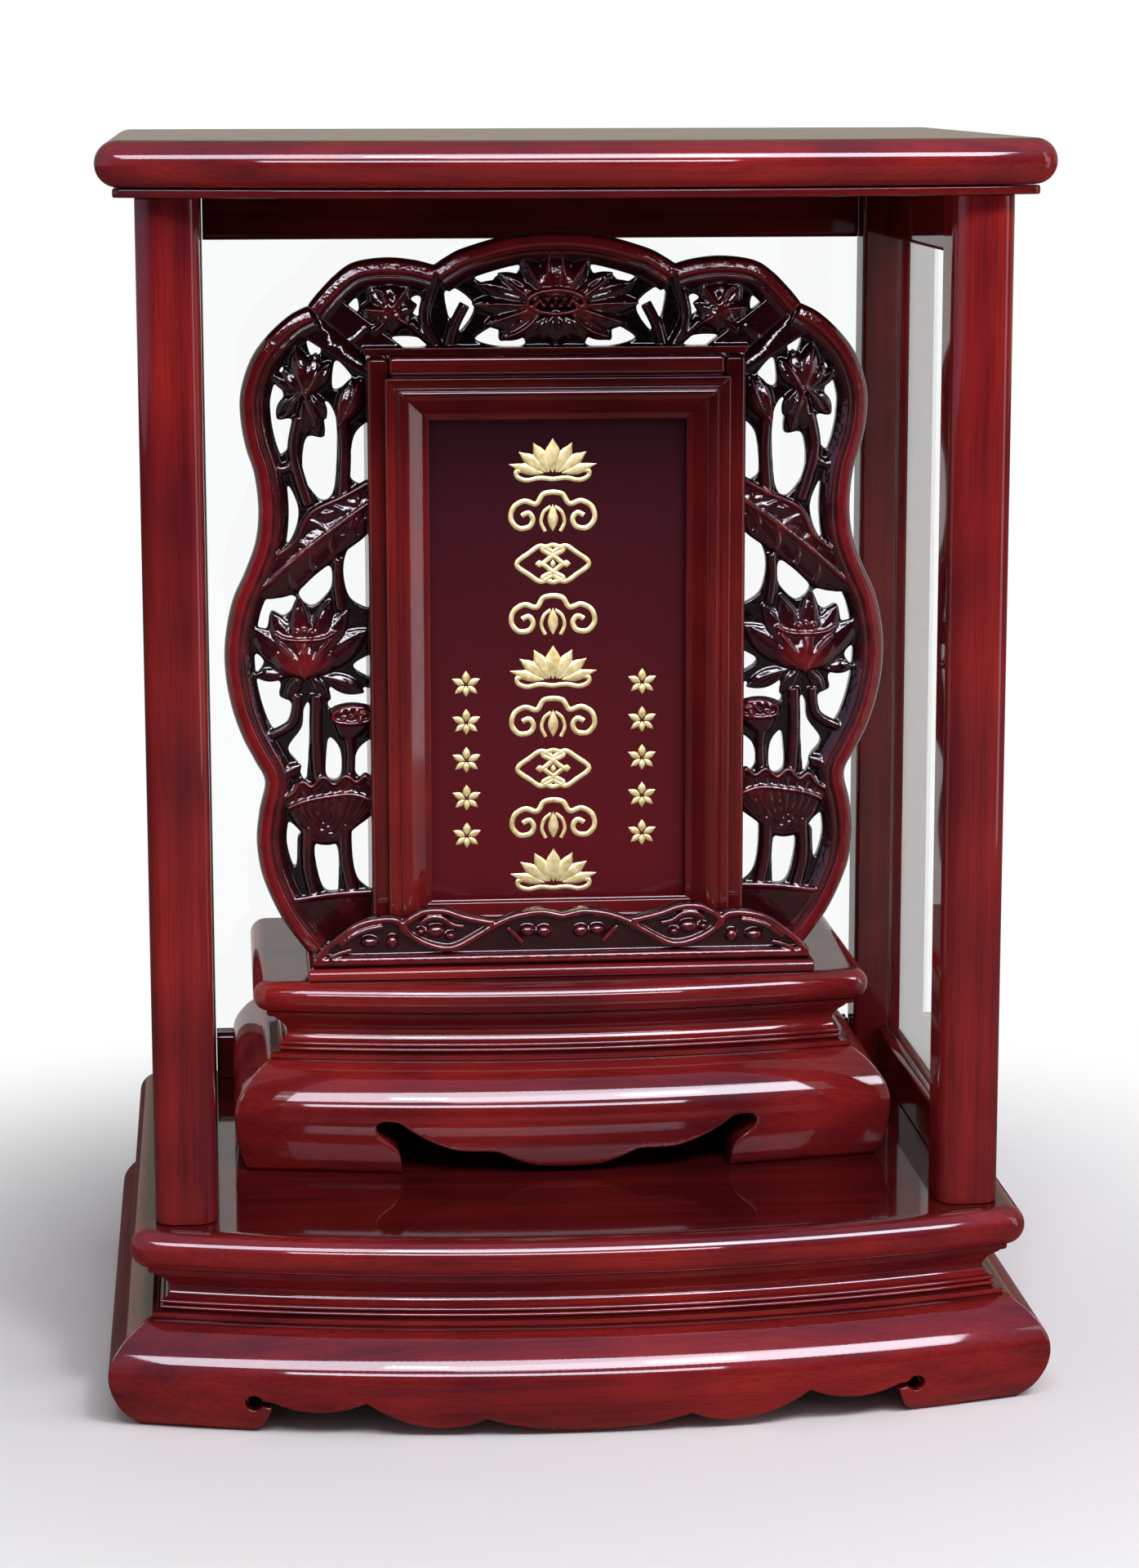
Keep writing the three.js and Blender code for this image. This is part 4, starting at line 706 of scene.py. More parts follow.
# The pierced surround. Places are across from the middle and up from the floor. A petal is (root,
# tip, width, rise), a stem's key is its radius, and a ridge is (lift, radius, lines).
border = {
    "wide": 13.5, "steps": 6,
    "shares": [(0, 1), (0, 0.34), (0.03, 0.22), (0.08, 0.1), (0.13, 0.052), (0.36, 0),
        (0.43, 0.03), (0.5, 0.13), (0.545, 0.22), (0.59, 0.15), (0.64, 0.13), (0.7, 0.17),
        (0.84, 0.32), (1, 0.5), (1, 1)],
}
wingCarving = {
    "ground": 5.6, "seed": 3, "over": 1, "behind": 8, "seat": 0.3, "groundFoot": 108, "groundIn": 3,
    "groundTop": (108.2, 461.6), "groundHigh": 446, "groundLow": 440,
    "band": {"foot": 104, "end": (118, 200.5), "high": 203.5},
    "lip": {"radius": 1.3, "lift": 2.2, "high": 203.2, "line": [(100, 202.4), (118, 200)]},
    "mitre": {"high": 449.4, "low": 434, "out": (115.2, 454.6)},
    "edge": [(109.2, 465.6), (117.4, 461.4), (127.2, 452.5), (134.6, 442), (139.1, 427.7),
        (139.1, 415), (136.9, 403), (133.5, 391.8), (132, 376), (133.5, 362), (138.4, 348.4),
        (144.3, 335), (147.7, 317.7), (147.7, 302.8), (145.1, 287.8), (140.6, 274.4), (135.4, 264),
        (130.9, 254.2), (133.5, 241.4), (135, 228), (133.5, 214.5), (130.1, 204), (125.3, 193.5),
        (121.2, 186.8), (114.5, 177.8), (111.5, 174)],
    "openings": [
        [(104.4, 452.6), (107.5, 454.1), (109.8, 451.4), (108.2, 444.8), (106.7, 443.8),
            (103.6, 445.2)],
        [(119.4, 443.7), (121.3, 444.1), (126, 437.9), (124.4, 436.7), (119.8, 437.1)],
        [(90.1, 434.8), (96.7, 441.8), (98.6, 434.8), (98.2, 429.4), (95.1, 429.8), (90.9, 433.3)],
        [(80, 413.6), (88.2, 410.5), (90.9, 400), (90.5, 389.2), (80, 388.5)],
        [(99.8, 422.5), (103.2, 422.5), (102.2, 408.6), (109.8, 408.4), (112.1, 400),
            (111.7, 391.6), (109, 385.4), (103.2, 380), (98.2, 386.2), (96.9, 412.4)],
        [(126, 435.6), (127, 428.6), (126.7, 417.8), (122.9, 402.4), (120.6, 401.2),
            (117.5, 405.5), (116.3, 415.9), (123.3, 416.3), (120.2, 427.1)],
        [(118.3, 386.5), (119.8, 383.8), (121, 371.5), (124, 357.6), (119.8, 359.9),
            (115.6, 367.6), (114.4, 376.9)],
        [(80, 367.6), (89, 363), (94, 354.5), (94.3, 344), (90.5, 335), (80, 334)],
        [(100.5, 350.6), (105.4, 348.4), (114.6, 339), (109, 333), (102.3, 338), (99.9, 343)],
        [(115.7, 337), (131, 339), (136.2, 326.7), (129.5, 322.6), (127, 330.9), (120.8, 328.8)],
        [(80, 311), (90, 307.2), (89, 303.4), (80, 300)],
        [(80, 293.8), (98.2, 299), (101.3, 296.9), (102.3, 289.7), (100.3, 286.1), (89, 286.6),
            (80, 285.6)],
        [(130.6, 308.7), (136.2, 312.8), (135.7, 303.1), (133.6, 303.1)],
        [(123.9, 299.5), (135.2, 301.5), (132.6, 289.7), (126.5, 277.3), (123.9, 276.8),
            (119.8, 282.5), (118.8, 289.7), (123.9, 292.8)],
        [(110.5, 287.6), (113.1, 286.6), (114.1, 278.4), (120.3, 269.1), (115.7, 261.9),
            (114.6, 256.8), (112.1, 256.3)],
        [(80, 272.2), (89, 268.1), (90, 256.8), (80, 252.7)],
        [(101.8, 273.7), (103.3, 266), (103.3, 256.3), (99.2, 254.2), (96.7, 257.8),
            (97.2, 268.1)],
        [(80, 238.8), (90, 236.7), (92.3, 230), (91.5, 214.6), (87.9, 206.3), (80, 205.3)],
        [(99.2, 224.4), (108.5, 225.4), (108, 213.5), (104.9, 204.3), (99.8, 203), (98.7, 205.3)],
        [(115.2, 230.5), (121.3, 235.7), (121.3, 224.9), (118.8, 215.6), (117.2, 216.6),
            (116.7, 228)],
    ],
    "petals": [((109, 427), (99.5, 441), 8, 2.8), ((110, 427), (105.5, 445.5), 8, 3.2),
        ((111, 427), (114.5, 448), 9, 3.6), ((112, 427), (120, 438.5), 8, 3.2),
        ((112, 426.5), (126.2, 436.4), 6, 2.6), ((108, 428), (101.5, 416), 6, 2.2),
        ((110, 428), (105, 408.3), 8, 2.6), ((111, 428), (110.5, 408.6), 7, 3),
        ((113, 428), (123.4, 416.6), 8, 2.4), ((96, 412), (85.5, 434), 11, 3.4),
        ((97, 414), (90, 434), 7, 4), ((112, 302), (84.5, 322), 13, 2.6),
        ((112, 302), (93, 331), 11, 2.8), ((112, 302), (101, 335.5), 11, 3.1),
        ((113, 302), (114.8, 338), 11, 3.4), ((113, 302), (127, 330.5), 12, 3),
        ((113, 302), (136.5, 324), 13, 2.6), ((106, 302), (85.9, 293.8), 8, 2),
        ((119, 302), (135.3, 302.4), 6, 2), ((111, 303), (101, 290.5), 6, 2.2),
        ((113, 303), (121, 291), 6, 2.2), ((112, 301), (98, 317), 14, 3.9),
        ((113, 301), (127, 317), 14, 3.9), ((112.5, 300), (112.5, 319), 15, 4.3),
        ((123, 256), (114.5, 261.5), 6, 2.6)],
    "stems": {
        2.9: [[(94.5, 416), (93.5, 400), (94.8, 380)], [(113.5, 417), (116, 400), (110, 378)],
            [(107.5, 293), (108, 275), (107, 253)], [(95.5, 234), (95.5, 218), (92, 200)],
            [(112, 233), (112.5, 215), (109, 200)]],
        2.3: [[(114, 398), (121, 394), (129, 396)], [(97, 354), (97.5, 343), (96, 331)],
            [(116, 293), (118, 281), (128, 275)], [(93.5, 277), (92.5, 265), (93.5, 250)]],
    },
    "leaves": [
        {
            "outline": [(82, 389), (94.4, 382.5), (109.8, 375.4), (116.7, 362), (124.4, 356.7),
                (131, 346), (133.5, 337), (118, 338), (107, 347), (94, 357), (82, 368)],
            "hub": (84, 378), "folds": 16, "fold": 0.45, "rise": 3.0, "rim": 0.9,
        },
        {
            "outline": [(82, 287), (92, 289.5), (101.5, 286.5), (99.5, 279), (96.5, 273),
                (90.5, 273), (82, 281)],
            "hub": (92, 262), "folds": 0, "fold": 0, "rise": 3.2, "rim": 1.0,
        },
        {
            "outline": [(82, 253), (86, 257.5), (90, 254.5), (95, 257.6), (100, 253.6),
                (105, 257.2), (110, 252.8), (115, 255.4), (118.5, 250.4), (123, 248), (121, 241),
                (116, 232), (110, 226), (103, 224.6), (97, 226.5), (91, 232), (82, 240)],
            "hub": (104, 218), "folds": 46, "fold": 0.5, "rise": 3.3, "rim": 1.1,
        },
    ],
    "ridges": [
        (2.5, 0.95, [
            [(83, 379), (96, 370), (113, 357), (131, 341)],
            [(83, 388), (95, 381.5), (109, 374.6), (115.6, 362.6), (124, 356)],
        ]),
        (2.3, 0.6, [[(92, 373), (97, 377), (101, 377.6)], [(101, 366.5), (106, 370), (110, 371.5)],
            [(110, 359.5), (114, 362), (116, 361.5)], [(90, 374), (91, 368), (89, 364)],
            [(99, 367.5), (100, 360), (98, 356)], [(108, 361), (109, 353), (107, 349)],
            [(117, 353.6), (118, 346), (116, 341)]]),
        (2.7, 0.9, [
            [(83, 253), (86, 256.3), (90, 253.6), (95, 256.4), (100, 252.6), (105, 256),
                (110, 251.8), (114.6, 254), (118, 249.6), (122, 247)],
            [(83, 245), (92, 248), (104, 247), (114, 245), (121, 242)],
        ]),
        (2.9, 0.75, [[(91, 284.4), (84, 285), (84.5, 281.4), (92, 280.2), (99, 281.2), (99.6, 285),
            (93, 287.4), (86, 287)]]),
        (3.4, 0.7, [[(112, 304), (106, 312), (101, 318)], [(113, 304), (119, 312), (124, 317)],
            [(112.5, 303), (112.5, 316)], [(99, 321.5), (104, 318.8), (112.5, 318), (121, 318.8),
            (126, 321.5)]]),
        (3.0, 0.6, [[(110, 427), (104, 437), (101, 440)], [(111, 428), (114, 440), (114.6, 446)],
            [(111, 427), (107, 416), (105.4, 410)], [(96, 413), (91, 421), (87.4, 432)],
            [(112, 428), (119, 418.6), (122.5, 417)]]),
    ],
    "seeds": {
        "radius": 1.15, "lift": 3.2,
        "places": [(86, 284.6), (89.5, 286), (93, 286.2), (96.5, 285.4), (88, 282.2), (92, 283),
            (95.5, 282.4), (109, 321.5), (112.5, 322.3), (116, 321.6)],
    },
}
crestCarving = {
    "ground": 5.4, "seed": 5, "over": 1, "rail": 3, "railHalf": 85, "groundFoot": 84, "groundIn": 3,
    "mitreFeet": (83, 62), "mitreOut": (101.2, 473.6),
    "lobe": [(109.2, 465.6), (104.7, 471.2), (96.6, 479.4), (88.3, 484.6), (74.9, 486.5),
        (62, 485.4), (52.4, 482.9)],
    "arch": [(54.5, 482.4), (48, 486.6), (40, 490.5), (20, 496), (0, 497.6)],
    "openings": [
        [(6.7, 485.4), (12.6, 484.7), (11.9, 481.5), (8.5, 481.9)],
        [(16.7, 483.6), (34.3, 478.6), (33.9, 476.2), (29.1, 474.7), (25.3, 478.4), (17.9, 478.2)],
        [(35.8, 465), (44.8, 473.2), (48.9, 470.6), (45.5, 455.3), (41.8, 454.5)],
        [(13.8, 451.9), (24.6, 449.7), (25.3, 456.8), (34.3, 452.3), (34.7, 450), (26, 447.6),
            (14.5, 447.6)],
        [(57, 466.5), (61.2, 469.9), (65.3, 466.5), (62.7, 462), (56, 459)],
        [(57, 447.6), (62, 451.8), (75, 451.5), (80.8, 447.6)],
        [(87, 463), (94, 464), (93, 470), (88, 470.5)],
    ],
    "petals": [((4, 468), (14.5, 486), 9, 3), ((7, 468), (25.5, 479.5), 9, 2.8),
        ((8, 467), (34, 475), 9, 2.6), ((9, 465), (37, 466), 9, 2.6),
        ((8, 463), (31, 457), 10, 2.8), ((7, 462), (24.8, 450.5), 10, 3),
        ((3, 468), (7, 484), 9, 3.9), ((4, 461), (13.5, 449.5), 9, 3.2),
        ((5, 467), (19, 474), 9, 3.8), ((6, 464), (20, 460), 9, 3.8),
        ((73, 463), (73, 477), 9, 2.8), ((73, 463), (82, 474), 9, 2.8),
        ((73, 463), (86, 464), 9, 2.8), ((73, 463), (81, 453.5), 8, 2.8),
        ((73, 463), (72, 452.5), 8, 3), ((73, 463), (64, 457), 8, 3),
        ((73, 463), (61, 466), 8, 2.8), ((73, 463), (65, 474), 9, 2.8),
        ((73, 460), (75, 470), 8, 4), ((74, 461), (66, 464), 7, 3.8),
        ((72, 462), (80, 460), 7, 3.8)],
    "middle": [((0, 461), (0, 447.5), 12, 2.8), ((0, 465), (0, 489), 16, 3.6),
        ((0, 462), (-6.5, 450), 9, 3), ((0, 462), (6.5, 450), 9, 3)],
    "leaves": [],
    "stems": {
        2.6: [[(48, 444), (45, 456), (40, 466)], [(50, 444), (58, 460), (53, 479)],
            [(84, 456), (88, 452), (93, 449)]],
        2.2: [[(64, 458), (58, 452), (52, 447)], [(93, 458), (97, 462), (101, 466)]],
    },
    "ridges": [
        (3.9, 0.9, [[(0, 472.2), (7, 471.3), (12, 468.6), (12, 465.4), (7, 462.7), (0, 461.8)]]),
        (3.2, 0.6, [[(12, 469), (19, 474), (24.5, 478.4)], [(12, 465.4), (24, 466), (35, 466)],
            [(11, 463.6), (22, 460), (29.6, 457.6)], [(7, 462), (14, 455), (23, 451.4)],
            [(5, 471), (10, 479), (13.6, 484.4)], [(1.6, 472), (3.5, 480), (2.6, 488)]]),
        (3.1, 0.6, [[(73, 463), (76, 471), (80, 473)], [(73, 463), (80, 463.6), (84.6, 464)],
            [(73, 462), (67, 458.6), (64.6, 457.4)], [(73, 463), (68, 470), (65.6, 473)],
            [(73, 462), (77, 457), (80.4, 454.4)]]),
    ],
    "seeds": {
        "radius": 1.25, "lift": 4.2,
        "places": [(0, 468.6), (3.8, 468.4), (7.4, 467.6), (1.9, 465.4), (5.6, 465.6), (9.2, 466)],
    },
}
fretDepth = {"front": boxOf("fret_crest")[0].y, "back": boxOf("fret_crest")[1].y, "bar": 2.4}
shoulder = wingCarving["edge"][0]  # where a wing's outline meets the crest's
fused = {"voxel": 0.52, "soften": 0.5, "passes": 2, "mostTriangles": 180000}

# Carved petals and leaves stand on the ground and sink a little into it. The crown and the dome
# are shares of a rise.
relief = {
    "sink": 1.3, "outlineSteps": 4, "groundGrid": 9, "groundMargin": 2, "stemLow": 0.2,
    "ridgeSides": 10, "beadUneven": 0.2,
    "petalSteps": (16, 12), "petalLean": 1.15, "petalFull": 0.8, "petalEnd": 0.02,
    "petalDome": (0.25, 1), "crownStart": 0.15, "crownFull": 0.7, "flute": 0.42, "flutes": 3,
    "leafGrid": 1.5, "leafMargin": 0.5, "leafSoft": 2.4, "leafDome": (0.3, 1), "leafFlat": 0.8,
    "rimIn": 1.6, "rimWide": 0.9, "rimRise": 0.5,
}


def sweepBorder(store, path):
    section = [(border["wide"] * inward, mix(fretDepth["front"], fretDepth["back"], deep))
        for inward, deep in border["shares"]]
    rings = []
    for i, point in enumerate(path):
        along = (path[min(i + 1, len(path) - 1)] - path[max(i - 1, 0)]).normalized()
        rings.append([(point.x + along.y * a, y, point.y - along.x * a) for a, y in section])
    addTo(store, *skin(rings))


def flip(points):
    return [(-x, z) for x, z in points]


# A flat bar from its outline, as deep as the panel behind its own front.
def addBar(store, outline, front):
    addTo(store, *skin([[(x, y, z) for x, z in outline] for y in (front, fretDepth["back"])]))


# The pierced ground of a panel: a plate with soft-edged openings.
def addGround(store, loop, openings, ground):
    steps = relief["outlineSteps"]
    holes = [[tuple(p) for p in curveThrough(points, steps, True)] for points in openings]
    region = fillLoop(loop, holes, relief["groundGrid"], relief["groundGrid"],
        relief["groundMargin"])
    addTo(store, *twoFaced(*region, lambda x, z: (x, ground, z),
        lambda x, z: (x, fretDepth["back"], z)))


# A blade from root to tip: its half width at u along it, and the Y of its face at u and at v, which
# runs from -1 to 1 across it.
def addBlade(store, root, tip, steps, halfAt, frontAt, back):
    root, tip = Vector(root), Vector(tip)
    run = tip - root
    side = Vector((-run.y, run.x)).normalized()
    rings = []
    for u in spread(0, 1, steps[0]):
        face = [(v, frontAt(u, v)) for v in spread(-1, 1, steps[1])] + [(1, back), (-1, back)]
        row = [(root + run * u + side * halfAt(u) * v, y) for v, y in face]
        rings.append([(place.x, y, place.y) for place, y in row])
    addTo(store, *skin(rings))


# A fluted petal, which is fullest past its middle.
def addPetal(store, root, tip, wide, rise, ground):
    def halfAt(u):
        bulge = max(math.sin(math.pi * u ** relief["petalLean"]), relief["petalEnd"])
        return wide / 2 * bulge ** relief["petalFull"]

    def frontAt(u, v):
        along = math.sin(math.pi * min(relief["crownStart"] + u, 1)) ** relief["crownFull"]
        dome = math.sqrt(max(1 - v * v, 0))
        wave = 1 - math.cos(math.pi * relief["flutes"] * (v + 1))
        crown = rise * mix(0.5, 1, along) * mix(*relief["petalDome"], dome)
        return ground - crown + relief["flute"] * wave * dome * (1 - u)

    addBlade(store, root, tip, relief["petalSteps"], halfAt, frontAt, ground + relief["sink"])


# A leaf or pod: its face domes up from its edge to a lifted rim and waves in folds round its hub.
def addLeaf(store, leaf, ground):
    loop = [tuple(p) for p in curveThrough(leaf["outline"], relief["outlineSteps"], True)]
    edge = np.array(loop + loop[:1])

    def front(x, z):
        gap = edgeGap(edge[:-1], edge[1:] - edge[:-1], np.array((x, z)))
        angle = math.atan2(z - leaf["hub"][1], x - leaf["hub"][0])
        dome = 1 - math.exp(-gap / relief["leafSoft"])
        rim = leaf["rim"] * math.exp(-((gap - relief["rimIn"]) / relief["rimWide"]) ** 2)
        fold = leaf["fold"] * math.cos(angle * leaf["folds"]) * dome
        rise = leaf["rise"] * mix(*relief["leafDome"], dome) * relief["leafFlat"]
        return (x, ground - rise - rim * relief["rimRise"] + fold, z)

    region = fillLoop(loop, (), relief["leafGrid"], relief["leafGrid"], relief["leafMargin"])
    addTo(store, *twoFaced(*region, front, lambda x, z: (x, ground + relief["sink"], z)))


# Geometry Nodes: a group with named inputs whose last steps realize, set the material and put out.
def newGroup(name, **inputs):
    tree = bpy.data.node_groups.new(name, "GeometryNodeTree")
    for label, kind in {"Geometry": "Geometry", **inputs, "Material": "Material"}.items():
        tree.interface.new_socket(label, in_out="INPUT", socket_type=f"NodeSocket{kind}")
    tree.interface.new_socket("Geometry", in_out="OUTPUT", socket_type="NodeSocketGeometry")
    return tree, tree.nodes.new("NodeGroupInput").outputs


def closeGroup(tree, entry, geometry):
    real = addNode(tree, "GeometryNodeRealizeInstances", {"Geometry": geometry})
    dressed = addNode(tree, "GeometryNodeSetMaterial", {"Geometry": real,
        "Material": entry["Material"]})
    addNode(tree, "NodeGroupOutput", {"Geometry": dressed})
    return tree


# Round tubes that follow drawn lines.
def tubeGroup():
    tree, entry = newGroup("tubeAlongLines", Radius="Float", Sides="Int", Depth="Float")
    lines = addNode(tree, "GeometryNodeMeshToCurve", {"Mesh": entry["Geometry"]})
    ring = addNode(tree, "GeometryNodeCurvePrimitiveCircle", {"Radius": entry["Radius"],
        "Resolution": entry["Sides"]})
    tube = addNode(tree, "GeometryNodeCurveToMesh", {"Curve": lines, "Profile Curve": ring,
        "Fill Caps": True})
    squeeze = addNode(tree, "ShaderNodeCombineXYZ", {"X": 1.0, "Y": entry["Depth"], "Z": 1.0})
    flat = addNode(tree, "GeometryNodeTransform", {"Geometry": tube, "Scale": squeeze})
    return closeGroup(tree, entry, flat)


# Beads set at points, each a little different in size.
def beadGroup():
    tree, entry = newGroup("beadsAtPoints", Radius="Float", Unevenness="Float", Seed="Int")
    bead = addNode(tree, "GeometryNodeMeshIcoSphere", {"Radius": entry["Radius"],
        "Subdivisions": 3})
    least = addNode(tree, "ShaderNodeMath", {0: 1.0, 1: entry["Unevenness"]}, operation="SUBTRACT")
    size = addNode(tree, "FunctionNodeRandomValue", {"Min": least, "Max": 1.0,
        "Seed": entry["Seed"]}, data_type="FLOAT")
    points = addNode(tree, "GeometryNodeMeshToPoints", {"Mesh": entry["Geometry"]})
    return closeGroup(tree, entry, addNode(tree, "GeometryNodeInstanceOnPoints", {"Points": points,
        "Instance": bead, "Scale": size}))


# Repeats a motif up a straight row.
def rowGroup():
    tree, entry = newGroup("motifsInRow", Count="Int", Start="Vector", Pitch="Float")
    step = addNode(tree, "ShaderNodeCombineXYZ", {"X": 0.0, "Y": 0.0, "Z": entry["Pitch"]})
    row = addNode(tree, "GeometryNodeMeshLine", {"Count": entry["Count"],
        "Start Location": entry["Start"], "Offset": step}, mode="OFFSET")
    return closeGroup(tree, entry, addNode(tree, "GeometryNodeInstanceOnPoints", {"Points": row,
        "Instance": entry["Geometry"]}))


# Runs a group on drawn lines, points or faces, and adds the mesh it makes to a store at a depth y.
def addGrown(store, group, points, edges, faces, y, values):
    mesh = bpy.data.meshes.new("drawn")
    mesh.from_pydata([tuple(c * mm for c in p) for p in points], edges, faces)
    drawn = bpy.data.objects.new("drawn", mesh)
    bpy.context.scene.collection.objects.link(drawn)
    modifier = drawn.modifiers.new("grow", "NODES")
    modifier.node_group = group
    sockets = {item.name: item.identifier for item in group.interface.items_tree
        if item.in_out == "INPUT"}
    for label, value in values.items():
        modifier[sockets[label]] = value
    graph = bpy.context.evaluated_depsgraph_get()
    grown = bpy.data.meshes.new_from_object(drawn.evaluated_get(graph))
    bpy.data.objects.remove(drawn)
    addTo(store, [(v.co.x / mm, v.co.y / mm + y, v.co.z / mm) for v in grown.vertices],
        [p.vertices for p in grown.polygons])
    bpy.data.meshes.remove(grown)


carvedFret = carvedLacquer("carvedLacquer", fretDepth["front"], fretDepth["back"])
tubes = tubeGroup()
beads = beadGroup()
rows = rowGroup()


# Tubes of one radius along several lines of (x, z), at a depth y; depth is their thickness in Y to
# their width.
def addTubes(store, lines, radius, y, sides=12, steps=6, depth=1.0, material=carvedFret):
    points, edges = [], []
    for line in lines:
        smooth = curveThrough(line, steps)
        edges += [(len(points) + i, len(points) + i + 1) for i in range(len(smooth) - 1)]
        points += [(p.x, 0, p.y) for p in smooth]
    addGrown(store, tubes, points, edges, (), y, {"Radius": radius * mm, "Sides": sides,
        "Depth": depth, "Material": material})


def addRelief(store, table):
    ground, seeds = table["ground"], table["seeds"]
    for petal in table["petals"]:
        addPetal(store, *petal, ground)
    for leaf in table["leaves"]:
        addLeaf(store, leaf, ground)
    for radius, lines in table["stems"].items():
        addTubes(store, lines, radius, ground + relief["stemLow"])
    for lift, radius, lines in table["ridges"]:
        addTubes(store, lines, radius, ground - lift, relief["ridgeSides"])
    places = [(x, ground - seeds["lift"], z) for x, z in seeds["places"]]
    addGrown(store, beads, places, (), (), 0, {"Radius": seeds["radius"] * mm,
        "Unevenness": relief["beadUneven"], "Seed": table["seed"], "Material": carvedFret})


# Fuses the bodies of a store into one carved skin, and thins it.
def remeshed(name, store, material, voxel):
    piece = makePiece(name, *store, material)
    remesh = piece.modifiers.new("fuse", "REMESH")
    remesh.mode = "VOXEL"
    remesh.voxel_size = voxel * mm
    remesh.use_smooth_shade = True
    soften = piece.modifiers.new("soften", "SMOOTH")
    soften.factor = fused["soften"]
    soften.iterations = fused["passes"]
    settle(piece)
    count = sum(len(p.vertices) - 2 for p in piece.data.polygons)
    if count > fused["mostTriangles"]:
        piece.modifiers.new("thin", "DECIMATE").ratio = fused["mostTriangles"] / count
        settle(piece)
        for face in piece.data.polygons:
            face.use_smooth = True
    return piece


# Trims a piece by planes, each a point and the direction that is cut away.
def trim(piece, planes):
    body = bmesh.new()
    body.from_mesh(piece.data)
    for point, away in planes:
        cut = bmesh.ops.bisect_plane(body, geom=body.verts[:] + body.edges[:] + body.faces[:],
            dist=1e-7, plane_co=Vector(point) * mm, plane_no=Vector(away), clear_outer=True)
        rim = [e for e in cut["geom_cut"] if isinstance(e, bmesh.types.BMEdge)]
        made = bmesh.ops.triangle_fill(body, edges=rim, use_beauty=True)
        for face in made["geom"]:
            if isinstance(face, bmesh.types.BMFace):
                face.smooth = False
    bmesh.ops.recalc_face_normals(body, faces=body.faces)
    body.to_mesh(piece.data)
    body.free()


# The mitre between a wing and the crest, as a cut from the box's corner to the shoulder, half a
# seam back. The side that stays is 1 for a wing, under the cut, and -1 for the crest over it.
def mitreCut(sign, cornerX, side):
    boxTop = boxOf("box_left")[1].z
    slope = Vector((shoulder[0] - cornerX, 0, shoulder[1] - boxTop)).normalized()
    away = Vector((-slope.z * sign, 0, slope.x)) * side
    return Vector((sign * cornerX, 0, boxTop)) - away * seam / 2, away


def makeWing(sign):
    wing = wingCarving
    node = f"fret_wing_{'right' if sign > 0 else 'left'}"
    low, high = boxOf(node)
    edgeX = low.x if sign > 0 else -high.x
    inner, behind, foot = edgeX - wing["over"], edgeX - wing["behind"], low.z - wing["over"]
    barFront = fretDepth["front"] + fretDepth["bar"]
    store = ([], [])
    edge = curveThrough(wing["edge"], border["steps"])
    sweepBorder(store, edge)
    loop = [(behind, foot), (wing["groundFoot"], foot)]
    loop += [(p.x - wing["groundIn"], p.y) for p in reversed(edge[2:])]
    loop += [wing["groundTop"], (inner, wing["groundHigh"]), (behind, wing["groundLow"])]
    addGround(store, loop, wing["openings"], wing["ground"])
    band, lip, mitre = wing["band"], wing["lip"], wing["mitre"]
    addBar(store, [(inner, foot), (band["foot"], foot), band["end"], (inner, band["high"])],
        wing["ground"] - fretDepth["bar"])
    addTubes(store, [[(inner, lip["high"]), *lip["line"]]], lip["radius"],
        wing["ground"] - lip["lift"])
    addRelief(store, wing)
    addBar(store, [(inner, mitre["high"]), (inner, mitre["low"]), mitre["out"], shoulder], barFront)
    if sign < 0:
        store = ([(-x, y, z) for x, y, z in store[0]], store[1])
    piece = remeshed(f"{node}_finish", store, carvedFret, fused["voxel"])
    seat = edgeX - wing["seat"]
    trim(piece, [((sign * (seat + seam), 0, 0), (-sign, 0, 0)), ((0, 0, low.z), (0, 0, -1)),
        mitreCut(sign, seat, 1)])
    hand(piece, "tablet", "carved_lacquer", node)


def makeCrest():
    crest = crestCarving
    lobe, arch = crest["lobe"], crest["arch"]
    low = boxOf("fret_crest")[0]
    foot, railTop, railHalf = low.z - crest["over"], low.z + crest["rail"], crest["railHalf"]
    front, back = fretDepth["front"], fretDepth["back"]
    store = ([], [])
    for line in (flip(arch) + arch[-2::-1], flip(lobe), lobe[::-1]):
        sweepBorder(store, curveThrough(line, border["steps"]))
    outline = curveThrough(lobe[1:-1] + arch[1:], relief["outlineSteps"])
    half = [(p.x, p.y - crest["groundIn"]) for p in outline]
    feet = [shoulder, (crest["groundFoot"], foot)]
    loop = flip(half) + half[-2::-1] + feet + flip(feet[::-1])
    openings = crest["openings"] + [flip(points) for points in crest["openings"]]
    addGround(store, loop, openings, crest["ground"])
    rail = [(front, foot), (front, railTop), (back, railTop), (back, foot)]
    addTo(store, *skin([[(x, y, z) for y, z in rail] for x in (-railHalf, railHalf)]))
    mitre = [*((x, foot) for x in crest["mitreFeet"]), crest["mitreOut"], shoulder]
    for bar in (flip(mitre), mitre):
        addBar(store, bar, front + fretDepth["bar"])
    side = ([], [])
    addRelief(side, crest)
    addTo(store, *side)
    addTo(store, [(-x, y, z) for x, y, z in side[0]], [face[::-1] for face in side[1]])
    for petal in crest["middle"]:
        addPetal(store, *petal, crest["ground"])
    piece = remeshed("fret_crest_finish", store, carvedFret, fused["voxel"])
    boxHalf, boxTop = boxOf("box_right")[1].x, boxOf("box_left")[1].z
    trim(piece, [((0, 0, boxTop + seam), (0, 0, -1)), mitreCut(-1, boxHalf, -1),
        mitreCut(1, boxHalf, -1)])
    hand(piece, "tablet", "carved_lacquer", "fret_crest")


makeWing(-1)
makeWing(1)
makeCrest()
print("surround carved")


